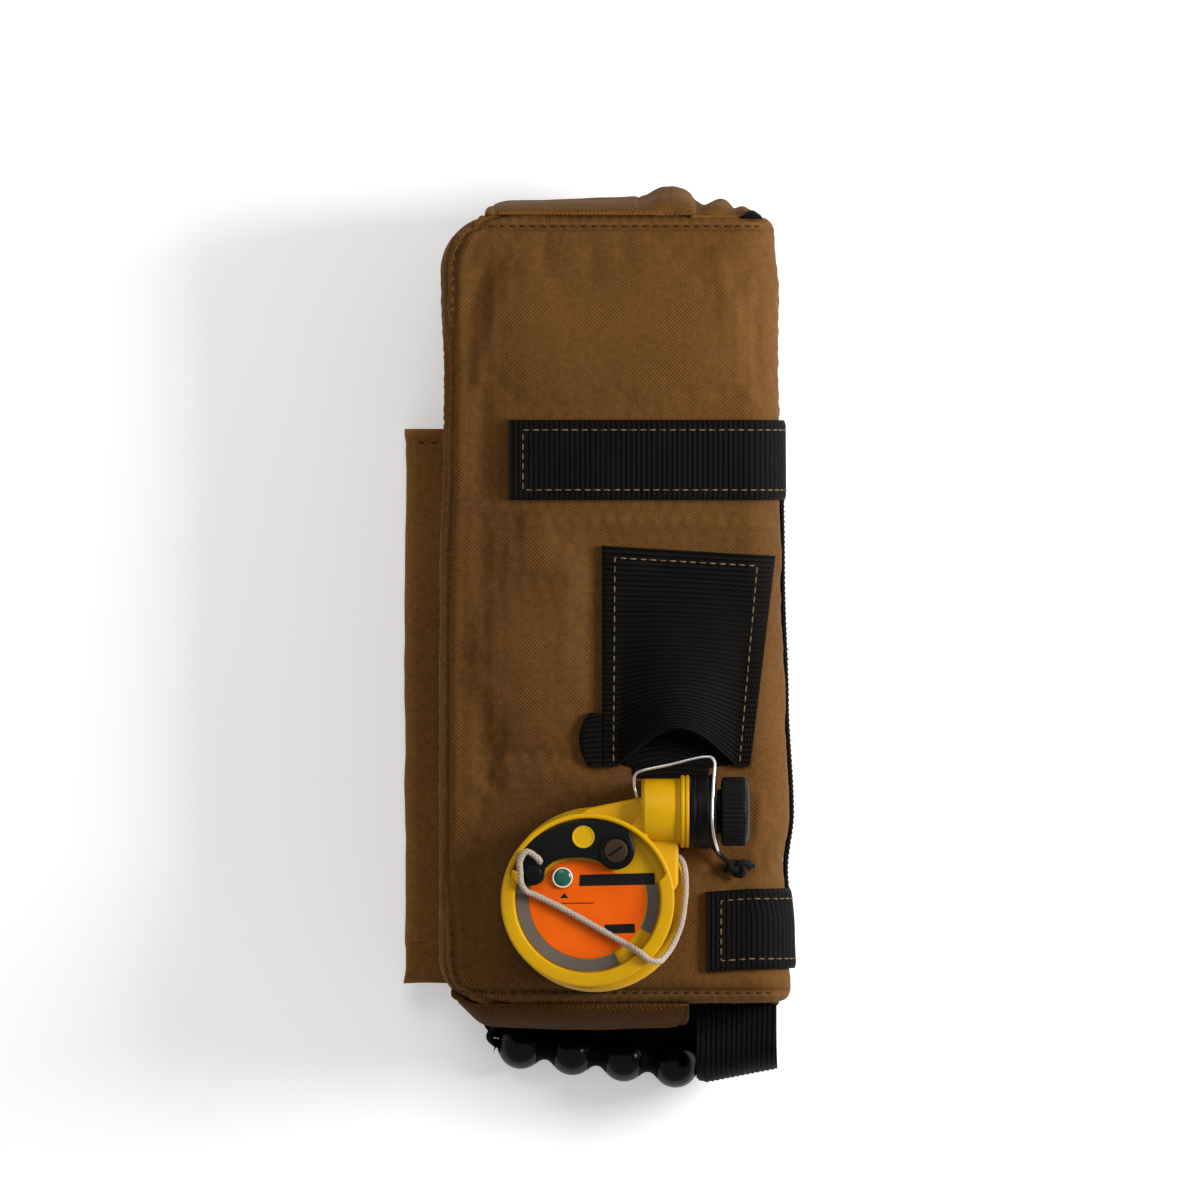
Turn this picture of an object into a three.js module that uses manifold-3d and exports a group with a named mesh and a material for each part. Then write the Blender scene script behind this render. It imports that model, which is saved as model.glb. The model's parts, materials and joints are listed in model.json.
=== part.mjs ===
// An inflatable belt pack lying on its back, with the inflator facing up.
// Millimetres, +Z up. X runs across the pack, with the belt side at +X. Y runs along it, with the
// beaded pull handle at -Y. The origin is the centre of the footprint, on the floor.
// The shape is laid out about the middle of the inflatable's cover and moved there at the end.
import * as THREE from 'three';
import { mergeVertices } from 'three/addons/utils/BufferGeometryUtils.js';
import Module from 'manifold-3d';

const wasm = await Module();
wasm.setup();

// Driving dimensions

const SEAT_GAP = 0.3;
const CORE_CLEARANCE = 0.4;

// Cover: the padded pouch
const COVER_LENGTH = 249.5;
const COVER_WIDTH = 108.5;
const COVER_THICKNESS = 50;
const COVER_WALL = 2;
const COVER_CROWN = 1.8;
const COVER_LOWER_Y = -115.4;
const COVER_LEFT_X = -51;
const LEFT_TOP_CORNER_RADIUS = 18;
const LEFT_LOWER_CORNER_RADIUS = 14;
const RIGHT_CORNER_RADIUS = 5;
const LEFT_EDGE_RADIUS = 7;
const RIGHT_EDGE_RADIUS = 12;
const END_EDGE_RADIUS = 9;
const SEAM_FACE_BORDER = 2.2;
const SEAM_BACK_BORDER = 8;
const SEAM_HEIGHT_IN_EDGE = 1.6;

// Flaps across the two ends
const FLAP_WALL = 2.6;
const FLAP_HEIGHT = 34;
const FLAP_CLEARANCE = 0.5;
const TOP_FLAP_REACH = 9.6;
const TOP_FLAP_LEFT_X = -36.7;
const TOP_FLAP_RIGHT_X = 30;
const BOTTOM_FLAP_REACH = 8.9;
const BOTTOM_FLAP_LEFT_X = -47;
const BOTTOM_FLAP_RIGHT_X = 28;

// Pocket on the back
const POCKET_WIDTH = 103.4;
const POCKET_LENGTH = 172;
const POCKET_THICKNESS = 12;
const POCKET_WALL = 1.5;
const POCKET_LEFT_X = -62.4;
const POCKET_LOWER_Y = -105;
const POCKET_CORNER_RADIUS = 8;
const POCKET_EDGE_RADIUS = 4;
const UNDER_PANEL_REACH = 5;
const UNDER_PANEL_THICKNESS = 1.8;

// Webbing
const WEB_THICKNESS = 1.8;
const WEB_WIDTH = 25.4;
const STRIP_LEFT_X = -29;
const STRIP_MIDDLE_Y = 56.8;
const WRAP_END_HEIGHT = 13.5;
const PATCH_LEFT_X = 33.5;
const PATCH_MIDDLE_Y = -93;
const PATCH_SLOPE = 0.07;
const BELT_STRAP_TOP_Y = 59;
const BELT_STRAP_LOWER_Y = -99;
const BELT_STRAP_ABOVE_BACK = 9.6;
const BELT_STRAP_END_RUN = 9;

// Sleeve for the gas cylinder
const SLEEVE_WIDTH = 53.5;
const SLEEVE_MOUTH_WIDTH = 47;
const SLEEVE_LEFT_X = 0.5;
const SLEEVE_TOP_Y = 28;
const SLEEVE_MOUTH_Y = -40.5;
const SLEEVE_TOP_SLOPE = 0.06;
const SLEEVE_WALL = 2;
const SLEEVE_BULGE = 11;
const SLEEVE_SEWN_SHARE = 0.12;
const TAB_WIDTH = 7;
const TAB_LENGTH = 17;

// Pull loop and beaded handle
const LOOP_LEFT_X = 30.6;
const LOOP_REACH = 26.4;
const LOOP_OPEN_HEIGHT = 20;
const LOOP_ABOVE_BACK = 4;
const LOOP_SLANT = 0.2;
const BEAD_RADIUS = 7.3;
const BEAD_COUNT = 4;
const BEAD_PITCH = 16.6;
const BEAD_HOLE_RADIUS = 1.6;
const BEAD_ROW_ANGLE = -0.12;
const FIRST_BEAD_X = -25.5;
const FIRST_BEAD_Y = -130.2;
const THREAD_RADIUS = 1.2;
const THREAD_END_RUN = 11;
const HANDLE_STRAP_THICKNESS = 2;

// Inflator
const RING_X = -4.1;
const RING_Y = -82.7;
const RING_RADIUS = 27.5;
const RING_HEIGHT = 21;
const FLANK_RADIUS = 29.3;
const FLANK_SHIFT = 2.4;
const FLANK_HEIGHT = 12;
const FACE_RADIUS = 23.1;
const FACE_DEPTH = 4.2;
const LEVER_RECESS_RADIUS = 25.9;
const LEVER_RECESS_FROM_Y = 7;
const LABEL_THICKNESS = 0.6;
const LEVER_THICKNESS = 2.8;
const LEVER_PIVOT_X = 8.9;
const LEVER_PIVOT_Y = 15.6;
const LEVER_PIVOT_RADIUS = 6;
const PIVOT_CAP_RADIUS = 3.9;
const WINDOW_X = -1.4;
const WINDOW_Y = 20;
const WINDOW_RADIUS = 3.6;
const LEVER_END_X = -17.4;
const LEVER_END_Y = 8.3;
const LEVER_END_RADIUS = 3.7;
const INDICATOR_X = -8;
const INDICATOR_Y = 7.1;
const INDICATOR_RADIUS = 3.3;
const INDICATOR_HEIGHT = 1;
const NECK_LEFT_X = 12.9;
const NECK_RIGHT_X = 25.2;
const NECK_Y = -54.7;
const NECK_RADIUS = 10.4;
const NECK_AXIS_HEIGHT = 12.2;
const FLANGE_RADIUS = 11.6;
const FLANGE_LENGTH = 2.9;
const COLLAR_RADIUS = 11.9;
const COLLAR_LENGTH = 8.2;
const KNOB_RADIUS = 11;
const KNOB_LENGTH = 10.4;
const KNOB_STEM_RADIUS = 7;
const KNOB_STEM_LENGTH = 1.2;
const CLIP_WIRE_RADIUS = 0.75;
const CORD_RADIUS = 1.1;
const KNOT_X = 44;
const KNOT_Y = -72.6;
const KNOT_LENGTH = 10;
const KNOT_WIDTH = 6.4;
const KNOT_HEIGHT = 5;

// Heights and edges that follow from them
const BACK_Z = POCKET_THICKNESS + SEAT_GAP;
const FACE_Z = BACK_Z + COVER_THICKNESS;
const COVER_TOP_Y = COVER_LOWER_Y + COVER_LENGTH;
const COVER_RIGHT_X = COVER_LEFT_X + COVER_WIDTH;
const INFLATOR_Z = FACE_Z + COVER_CROWN + SEAT_GAP;
const RING_TOP_Z = INFLATOR_Z + RING_HEIGHT;
const LABEL_Z = RING_TOP_Z - FACE_DEPTH + SEAT_GAP;
const LEVER_Z = LABEL_Z + LABEL_THICKNESS + SEAT_GAP;
const NECK_Z = INFLATOR_Z + NECK_AXIS_HEIGHT;

// Side lines of the cover, from the lower end to the top. "at" is a share of the length;
// "left" and "right" say how far the edge lies towards +X, as shares of the width.
const SIDE_LINES = [
  { at: 0.00, left: 0.000, right: 0.026 },
  { at: 0.09, left: 0.000, right: 0.018 },
  { at: 0.17, left: 0.000, right: 0.004 },
  { at: 0.24, left: 0.000, right: 0.021 },
  { at: 0.38, left: 0.000, right: 0.006 },
  { at: 0.55, left: 0.002, right: -0.006 },
  { at: 0.68, left: 0.012, right: -0.008 },
  { at: 0.80, left: 0.015, right: -0.010 },
  { at: 0.90, left: 0.004, right: -0.008 },
  { at: 1.00, left: 0.000, right: -0.026 },
];

// How far each end flap stands out along its width, as a share of its reach.
const TOP_FLAP_ROLL = [
  { at: 0.00, out: 0.38 },
  { at: 0.12, out: 0.55 },
  { at: 0.55, out: 0.64 },
  { at: 0.76, out: 0.72 },
  { at: 0.86, out: 1.00 },
  { at: 0.95, out: 0.96 },
  { at: 1.00, out: 0.50 },
];
const BOTTOM_FLAP_ROLL = [
  { at: 0.00, out: 0.36 },
  { at: 0.18, out: 0.90 },
  { at: 0.50, out: 1.00 },
  { at: 0.90, out: 0.96 },
  { at: 1.00, out: 0.80 },
];

// Small tools

const rad = THREE.MathUtils.degToRad;

// Value of a table's column at a share of its length, eased from row to row.
function fromTable(table, column, share) {
  const last = table.length - 1;
  if (share <= table[0].at) return table[0][column];
  if (share >= table[last].at) return table[last][column];
  const next = table.findIndex((row) => row.at > share);
  const a = table[next - 1];
  const b = table[next];
  const t = (share - a.at) / (b.at - a.at);
  return a[column] + (b[column] - a[column]) * t * t * (3 - 2 * t);
}

// How far a round corner lies inside its square one, at a distance from the edge.
function roundInset(distance, radius) {
  if (distance >= radius) return 0;
  const left = radius - Math.max(distance, 0);
  return radius - Math.sqrt(Math.max(radius * radius - left * left, 0));
}

function spread(count, from = 0, to = 1) {
  return Array.from({ length: count + 1 }, (_, i) => from + ((to - from) * i) / count);
}

// Closed geometry from points and triangles, turned to face out.
function closedGeometry(points, triangles) {
  let volume = 0;
  for (const [a, b, c] of triangles) {
    volume += points[a].dot(new THREE.Vector3().crossVectors(points[b], points[c]));
  }
  const order = volume < 0 ? triangles.map(([a, b, c]) => [a, c, b]) : triangles;
  const geometry = new THREE.BufferGeometry();
  geometry.setAttribute('position', new THREE.Float32BufferAttribute(points.flatMap((p) => p.toArray()), 3));
  geometry.setIndex(order.flat());
  return geometry;
}

// Solid through closed loops of equal count, with a fan over each end.
function loftLoops(loops) {
  const count = loops[0].length;
  const points = loops.flat();
  const triangles = [];
  for (let row = 0; row + 1 < loops.length; row += 1) {
    for (let i = 0; i < count; i += 1) {
      const a = row * count + i;
      const b = row * count + ((i + 1) % count);
      triangles.push([a, b, a + count], [b, b + count, a + count]);
    }
  }
  for (const row of [0, loops.length - 1]) {
    const middle = points.length;
    const loop = loops[row];
    points.push(loop.reduce((sum, p) => sum.add(p), new THREE.Vector3()).divideScalar(count));
    for (let i = 0; i < count; i += 1) {
      const a = row * count + i;
      const b = row * count + ((i + 1) % count);
      triangles.push(row === 0 ? [middle, b, a] : [middle, a, b]);
    }
  }
  return closedGeometry(points, triangles);
}

// Thin solid between two sides. place(u, v, side) gives a point, with side 0 or 1.
function sheet(us, vs, place) {
  const points = [];
  const index = (i, j, side) => (side * us.length + i) * vs.length + j;
  for (const side of [0, 1]) {
    for (const u of us) {
      for (const v of vs) points.push(place(u, v, side));
    }
  }
  const triangles = [];
  const quad = (a, b, c, d) => triangles.push([a, b, c], [a, c, d]);
  const m = us.length - 1;
  const n = vs.length - 1;
  for (let i = 0; i < m; i += 1) {
    for (let j = 0; j < n; j += 1) {
      quad(index(i, j, 1), index(i + 1, j, 1), index(i + 1, j + 1, 1), index(i, j + 1, 1));
      quad(index(i, j, 0), index(i, j + 1, 0), index(i + 1, j + 1, 0), index(i + 1, j, 0));
    }
  }
  for (let i = 0; i < m; i += 1) {
    quad(index(i, 0, 0), index(i + 1, 0, 0), index(i + 1, 0, 1), index(i, 0, 1));
    quad(index(i, n, 0), index(i, n, 1), index(i + 1, n, 1), index(i + 1, n, 0));
  }
  for (let j = 0; j < n; j += 1) {
    quad(index(0, j, 0), index(0, j, 1), index(0, j + 1, 1), index(0, j + 1, 0));
    quad(index(m, j, 0), index(m, j + 1, 0), index(m, j + 1, 1), index(m, j, 1));
  }
  return closedGeometry(points, triangles);
}

function toSolid(geometry) {
  const bare = geometry.clone();
  bare.deleteAttribute('normal');
  bare.deleteAttribute('uv');
  const merged = mergeVertices(bare, 1e-4);
  return new wasm.Manifold(new wasm.Mesh({
    numProp: 3,
    vertProperties: new Float32Array(merged.attributes.position.array),
    triVerts: new Uint32Array(merged.index.array),
  }));
}

function toGeometry(solid) {
  const mesh = solid.getMesh();
  const geometry = new THREE.BufferGeometry();
  geometry.setAttribute('position', new THREE.BufferAttribute(new Float32Array(mesh.vertProperties), 3));
  geometry.setIndex(new THREE.BufferAttribute(new Uint32Array(mesh.triVerts), 1));
  return geometry;
}

// Upright round solid standing on z.
function puck(radius, height, x, y, z, sides = 48) {
  const geometry = new THREE.CylinderGeometry(radius, radius, height, sides);
  return geometry.rotateX(Math.PI / 2).translate(x, y, z + height / 2);
}

// Round solid along X, turned from a profile of [distance along X, radius] pairs.
function turnedAlongX(profile, sides, x, y, z) {
  const points = profile.map(([along, radius]) => new THREE.Vector2(radius, along));
  return new THREE.LatheGeometry(points, sides).rotateZ(-Math.PI / 2).translate(x, y, z);
}

// Round wire or cord through the points of its route.
function wireAlong(route, radius, steps) {
  const path = new THREE.CatmullRomCurve3(route.map((p) => new THREE.Vector3(...p)), false, 'centripetal');
  const section = new THREE.Shape();
  section.absarc(0, 0, radius, 0, 2 * Math.PI, false);
  return new THREE.ExtrudeGeometry(section, { extrudePath: path, steps, curveSegments: 4 });
}

const pack = new THREE.Group();

function add(name, geometry, color, roughness = 0.85, metalness = 0) {
  const mesh = new THREE.Mesh(geometry, new THREE.MeshStandardMaterial({ color, roughness, metalness }));
  mesh.name = name;
  pack.add(mesh);
}

const BROWN = 0x6b4723;
const BLACK_WEB = 0x1a1816;
const YELLOW = 0xe8b80c;

// Cover shape

// Left and right edges of the cover at y, without the round corners of the plan.
function sideEdges(y) {
  const share = (y - COVER_LOWER_Y) / COVER_LENGTH;
  return {
    left: COVER_LEFT_X + COVER_WIDTH * fromTable(SIDE_LINES, 'left', share),
    right: COVER_RIGHT_X + COVER_WIDTH * fromTable(SIDE_LINES, 'right', share),
  };
}

// The cover's cross-section at y, taken in by inset all round.
function coverSection(y, inset = 0) {
  const { left, right } = sideEdges(y);
  const fromLower = y - COVER_LOWER_Y - inset;
  const fromTop = COVER_TOP_Y - inset - y;
  const corner = (lowerRadius, topRadius) => (
    roundInset(fromLower, lowerRadius - inset) + roundInset(fromTop, topRadius - inset));
  const endDrop = roundInset(Math.min(fromLower, fromTop), END_EDGE_RADIUS - inset);
  return {
    left: left + inset + corner(LEFT_LOWER_CORNER_RADIUS, LEFT_TOP_CORNER_RADIUS),
    right: right - inset - corner(RIGHT_CORNER_RADIUS, RIGHT_CORNER_RADIUS),
    bottom: BACK_Z + inset + endDrop,
    top: FACE_Z - inset - endDrop,
    crown: COVER_CROWN * Math.max(0, 1 - (1 - 2 * (y - COVER_LOWER_Y) / COVER_LENGTH) ** 6),
    leftRadius: LEFT_EDGE_RADIUS - inset,
    rightRadius: RIGHT_EDGE_RADIUS - inset,
  };
}

// Height of the cover's face at x in a section, round at both edges.
function sectionTop(section, x) {
  const from = section.left + section.leftRadius;
  const to = section.right - section.rightRadius;
  const across = THREE.MathUtils.clamp((2 * x - from - to) / (to - from), -1, 1);
  const drop = roundInset(x - section.left, section.leftRadius)
    + roundInset(section.right - x, section.rightRadius);
  return section.top + section.crown * (1 - across * across) - drop;
}

const faceHeight = (x, y) => sectionTop(coverSection(y), x);

function sectionLoop(y, inset, edgeSteps) {
  const s = coverSection(y, inset);
  const loop = [];
  const arc = (x, z, radius, from) => {
    for (const angle of spread(edgeSteps, from, from + 90)) {
      loop.push(new THREE.Vector3(x + radius * Math.cos(rad(angle)), y, z + radius * Math.sin(rad(angle))));
    }
  };
  const faceLeft = s.left + s.leftRadius;
  const faceRight = s.right - s.rightRadius;
  arc(faceLeft, s.bottom + s.leftRadius, s.leftRadius, 180);
  arc(faceRight, s.bottom + s.rightRadius, s.rightRadius, 270);
  arc(faceRight, s.top - s.rightRadius, s.rightRadius, 0);
  for (const x of spread(8, faceRight, faceLeft).slice(1, -1)) {
    loop.push(new THREE.Vector3(x, y, sectionTop(s, x)));
  }
  arc(faceLeft, s.top - s.leftRadius, s.leftRadius, 90);
  return loop;
}

// The padded shape of the cover, taken in by inset, with steps round its edges and its ends.
function pillow(inset, edgeSteps, endSteps) {
  const ends = spread(endSteps, 0, 90).map((angle) => LEFT_TOP_CORNER_RADIUS * (1 - Math.cos(rad(angle))));
  const lower = COVER_LOWER_Y + inset;
  const top = COVER_TOP_Y - inset;
  const middle = spread(9, lower + ends.at(-1), top - ends.at(-1)).slice(1, -1);
  const rows = [...ends.map((d) => lower + d), ...middle, ...ends.map((d) => top - d).reverse()];
  return loftLoops(rows.map((y) => sectionLoop(y, inset, edgeSteps)));
}

// Everything on one side of the seam's slanting plane, which runs from the face's left border
// to the back's right border.
function besideSeam(towardsFace) {
  const start = new THREE.Vector3(COVER_LEFT_X + SEAM_FACE_BORDER, 0, FACE_Z - SEAM_HEIGHT_IN_EDGE);
  const end = new THREE.Vector3(COVER_RIGHT_X - SEAM_BACK_BORDER, 0, BACK_Z + SEAM_HEIGHT_IN_EDGE);
  const span = start.distanceTo(end);
  const depth = 2 * COVER_THICKNESS;
  const block = new THREE.BoxGeometry(2 * span, 2 * COVER_LENGTH, depth);
  const side = towardsFace ? 1 : -1;
  block.translate(0, 0, side * (depth / 2 + SEAT_GAP / 2));
  block.rotateY(Math.atan2(start.z - end.z, end.x - start.x));
  return block.translate((start.x + end.x) / 2, (COVER_LOWER_Y + COVER_TOP_Y) / 2, (start.z + end.z) / 2);
}

function buildCover() {
  const shell = toSolid(pillow(0, 5, 6)).subtract(toSolid(pillow(COVER_WALL, 5, 6)));
  add('cover_front', toGeometry(shell.intersect(toSolid(besideSeam(true)))), BROWN);
  add('cover_back', toGeometry(shell.intersect(toSolid(besideSeam(false)))), BROWN);
  add('float_core', pillow(COVER_WALL + CORE_CLEARANCE, 3, 4), 0x3a352c);
}

// Flap across one end: a bulging wall that hugs the cover's end.
function endFlap(side, leftX, rightX, reach, roll) {
  const lowest = BACK_Z + (COVER_THICKNESS - FLAP_HEIGHT) / 2;
  const endY = side > 0 ? COVER_TOP_Y : COVER_LOWER_Y;
  const leftRadius = side > 0 ? LEFT_TOP_CORNER_RADIUS : LEFT_LOWER_CORNER_RADIUS;
  return sheet(spread(14), spread(6), (u, v, outer) => {
    const x = leftX + (rightX - leftX) * u;
    const out = (reach * fromTable(roll, 'out', u) - FLAP_CLEARANCE - FLAP_WALL) * Math.sin(Math.PI * v);
    const y = FLAP_CLEARANCE + Math.max(out, 0) + outer * FLAP_WALL - roundInset(x - COVER_LEFT_X, leftRadius);
    return new THREE.Vector3(x, endY + side * y, lowest + FLAP_HEIGHT * v);
  });
}

function buildFlaps() {
  const top = endFlap(1, TOP_FLAP_LEFT_X, TOP_FLAP_RIGHT_X, TOP_FLAP_REACH, TOP_FLAP_ROLL);
  const bottom = endFlap(-1, BOTTOM_FLAP_LEFT_X, BOTTOM_FLAP_RIGHT_X, BOTTOM_FLAP_REACH, BOTTOM_FLAP_ROLL);
  add('top_flap', top, BROWN);
  add('bottom_flap', bottom, BROWN);
}

// Flat rounded slab of the pocket, taken in by inset, from its lower end to topY.
function pocketSlab(inset, topY) {
  const lower = POCKET_LOWER_Y + inset;
  const radius = POCKET_CORNER_RADIUS - inset;
  const edge = POCKET_EDGE_RADIUS - inset / 2;
  const rows = [0, 0.5, 1.6, 3.2, 5.4, radius].map((d) => lower + d);
  return loftLoops([...rows, ...spread(4, lower + radius, topY).slice(1)].map((y) => {
    const corner = roundInset(y - lower, radius);
    const drop = roundInset(y - lower, edge) * 0.7;
    const left = POCKET_LEFT_X + inset + corner;
    const right = POCKET_LEFT_X + POCKET_WIDTH - inset - corner;
    const bottom = inset + drop;
    const top = POCKET_THICKNESS - inset - drop;
    const round = Math.min(edge, (top - bottom) / 2);
    const loop = [];
    const arc = (x, z, from) => {
      for (const angle of spread(4, from, from + 90)) {
        loop.push(new THREE.Vector3(x + round * Math.cos(rad(angle)), y, z + round * Math.sin(rad(angle))));
      }
    };
    arc(left + round, bottom + round, 180);
    arc(right - round, bottom + round, 270);
    arc(right - round, top - round, 0);
    arc(left + round, top - round, 90);
    return loop;
  }));
}

function buildPocket() {
  const mouthY = POCKET_LOWER_Y + POCKET_LENGTH;
  const panel = new THREE.BoxGeometry(
    POCKET_WIDTH - 2 * POCKET_WALL,
    2 * UNDER_PANEL_REACH + POCKET_CORNER_RADIUS,
    UNDER_PANEL_THICKNESS,
  );
  panel.translate(
    POCKET_LEFT_X + POCKET_WIDTH / 2,
    POCKET_LOWER_Y + POCKET_CORNER_RADIUS / 2,
    POCKET_THICKNESS - UNDER_PANEL_THICKNESS / 2,
  );
  const inside = toSolid(pocketSlab(POCKET_WALL, mouthY + POCKET_WALL));
  const pocket = toSolid(pocketSlab(0, mouthY)).add(toSolid(panel)).subtract(inside);
  add('pocket', toGeometry(pocket), BROWN);
}

// Point on the face, round the right edge or down the right wall.
// run is the distance past the start of the edge's round, and lift the height off the cloth.
function overRightEdge(x, y, run, lift) {
  const s = coverSection(y);
  const edgeX = s.right - s.rightRadius;
  const quarter = (Math.PI / 2) * s.rightRadius;
  if (run <= 0) return new THREE.Vector3(x, y, sectionTop(s, x) + lift);
  if (run < quarter) {
    const angle = run / s.rightRadius;
    const radius = s.rightRadius + lift;
    return new THREE.Vector3(
      edgeX + radius * Math.sin(angle),
      y,
      s.top - s.rightRadius + radius * Math.cos(angle),
    );
  }
  return new THREE.Vector3(s.right + lift, y, s.top - s.rightRadius - (run - quarter));
}

// Webbing that lies on the face from startX and wraps over the right edge.
function wrappedWebbing(startX, middleY, slope) {
  const edgeX = (y) => COVER_RIGHT_X + COVER_WIDTH * fromTable(
    SIDE_LINES, 'right', (y - COVER_LOWER_Y) / COVER_LENGTH) - RIGHT_EDGE_RADIUS;
  const quarter = (Math.PI / 2) * RIGHT_EDGE_RADIUS;
  const runs = [...spread(8, -1, 0), ...spread(8, 0, quarter).slice(1), quarter + WRAP_END_HEIGHT - RIGHT_EDGE_RADIUS];
  return sheet(runs, spread(4), (run, v, upper) => {
    const across = (v - 0.5) * WEB_WIDTH;
    const flat = edgeX(middleY) - startX;
    const sideways = (run < 0 ? 1 + run : 1) * flat * slope;
    const y = middleY + across + sideways;
    const x = run < 0 ? startX + (1 + run) * (edgeX(y) - startX) : edgeX(y);
    return overRightEdge(x, y, Math.max(run, 0), SEAT_GAP + upper * WEB_THICKNESS);
  });
}

// Belt-side webbing: straight along the right wall, turned in to it at both ends.
function buildBeltStrap() {
  const standOff = COVER_RIGHT_X + COVER_WIDTH * Math.max(...SIDE_LINES.slice(1).map((row) => row.right));
  const path = [
    { y: BELT_STRAP_LOWER_Y, out: sideEdges(BELT_STRAP_LOWER_Y).right },
    { y: BELT_STRAP_LOWER_Y + BELT_STRAP_END_RUN, out: standOff },
    { y: BELT_STRAP_TOP_Y - BELT_STRAP_END_RUN, out: standOff },
    { y: BELT_STRAP_TOP_Y, out: sideEdges(BELT_STRAP_TOP_Y).right },
  ];
  const lowest = BACK_Z + BELT_STRAP_ABOVE_BACK;
  add('belt_strap', sheet([0, 1, 2, 3], [0, 1], (i, v, outer) => new THREE.Vector3(
    path[i].out + SEAT_GAP + outer * WEB_THICKNESS,
    path[i].y,
    lowest + v * WEB_WIDTH,
  )), BLACK_WEB);
}

function buildWebbing() {
  add('webbing_strip', wrappedWebbing(STRIP_LEFT_X, STRIP_MIDDLE_Y, 0), BLACK_WEB);
  add('corner_patch', wrappedWebbing(PATCH_LEFT_X, PATCH_MIDDLE_Y, PATCH_SLOPE), BLACK_WEB);
  buildBeltStrap();
}

// Sleeve sewn down at its sides and top, and standing open at its lower end.
function buildSleeve() {
  const us = [0, 0.06, ...spread(10, SLEEVE_SEWN_SHARE, 1 - SLEEVE_SEWN_SHARE), 0.94, 1];
  const sleeve = sheet(us, spread(10), (u, v, upper) => {
    const width = SLEEVE_MOUTH_WIDTH + (SLEEVE_WIDTH - SLEEVE_MOUTH_WIDTH) * v;
    const x = SLEEVE_LEFT_X + width * u;
    const topY = SLEEVE_TOP_Y - SLEEVE_TOP_SLOPE * width * (u - 0.5);
    const y = SLEEVE_MOUTH_Y + (topY - SLEEVE_MOUTH_Y) * v;
    const open = THREE.MathUtils.clamp((u - SLEEVE_SEWN_SHARE) / (1 - 2 * SLEEVE_SEWN_SHARE), 0, 1);
    const fade = Math.max(0, 1 - v / (1 - SLEEVE_SEWN_SHARE));
    const bulge = SLEEVE_BULGE * Math.sin(Math.PI * open) ** 1.3 * fade ** 1.15;
    return new THREE.Vector3(x, y, faceHeight(x, y) + SEAT_GAP + bulge + upper * SLEEVE_WALL);
  });
  add('cylinder_sleeve', sleeve, BLACK_WEB);
  const tab = sheet(spread(5), spread(6), (u, v, upper) => {
    const reach = TAB_WIDTH * Math.sin(Math.PI * (0.12 + 0.76 * v)) ** 0.6;
    const x = SLEEVE_LEFT_X - SEAT_GAP - reach * u;
    const y = SLEEVE_MOUTH_Y + TAB_LENGTH * v;
    return new THREE.Vector3(x, y, faceHeight(x, y) + SEAT_GAP + upper * WEB_THICKNESS);
  });
  add('sleeve_tab', tab, BLACK_WEB);
}

// Webbing loop at the lower end: out, round a bend and back, with its fold on a slant.
function buildLoop() {
  const startY = COVER_LOWER_Y - SEAT_GAP;
  const radius = LOOP_OPEN_HEIGHT / 2;
  const lowZ = BACK_Z + LOOP_ABOVE_BACK;
  const straight = LOOP_REACH - radius - WEB_THICKNESS;
  const path = [
    ...spread(3, 0, straight * 0.9).map((d) => ({ d, z: 0, turn: 0 })),
    ...spread(8, 0, 180).map((angle) => ({ d: straight, z: 0, turn: angle })),
    ...spread(3, straight * 0.9, 0).map((d) => ({ d, z: LOOP_OPEN_HEIGHT, turn: 180 })),
  ];
  const loop = sheet(spread(path.length - 1, 0, path.length - 1), spread(3), (i, u, outer) => {
    const step = path[Math.round(i)];
    const reachOut = radius + outer * WEB_THICKNESS;
    const away = step.d + reachOut * Math.sin(rad(step.turn));
    const z = lowZ + WEB_THICKNESS + radius - reachOut * Math.cos(rad(step.turn));
    const slant = 1 - LOOP_SLANT * u;
    return new THREE.Vector3(LOOP_LEFT_X + WEB_WIDTH * u, startY - away * slant, z);
  });
  add('pull_loop', loop, BLACK_WEB);
}

// Beaded handle

const beadHeight = SEAT_GAP + BEAD_RADIUS;

function beadCentre(index) {
  return new THREE.Vector3(
    FIRST_BEAD_X + index * BEAD_PITCH * Math.cos(BEAD_ROW_ANGLE),
    FIRST_BEAD_Y + index * BEAD_PITCH * Math.sin(BEAD_ROW_ANGLE),
    beadHeight,
  );
}

function beadGeometry() {
  const start = Math.asin(BEAD_HOLE_RADIUS / BEAD_RADIUS);
  const end = Math.PI - start;
  const profile = spread(8, start, end).map((angle) => (
    new THREE.Vector2(BEAD_RADIUS * Math.sin(angle), -BEAD_RADIUS * Math.cos(angle))));
  profile.push(profile[0].clone());
  return new THREE.LatheGeometry(profile, 12).rotateZ(-Math.PI / 2 + BEAD_ROW_ANGLE);
}

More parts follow.
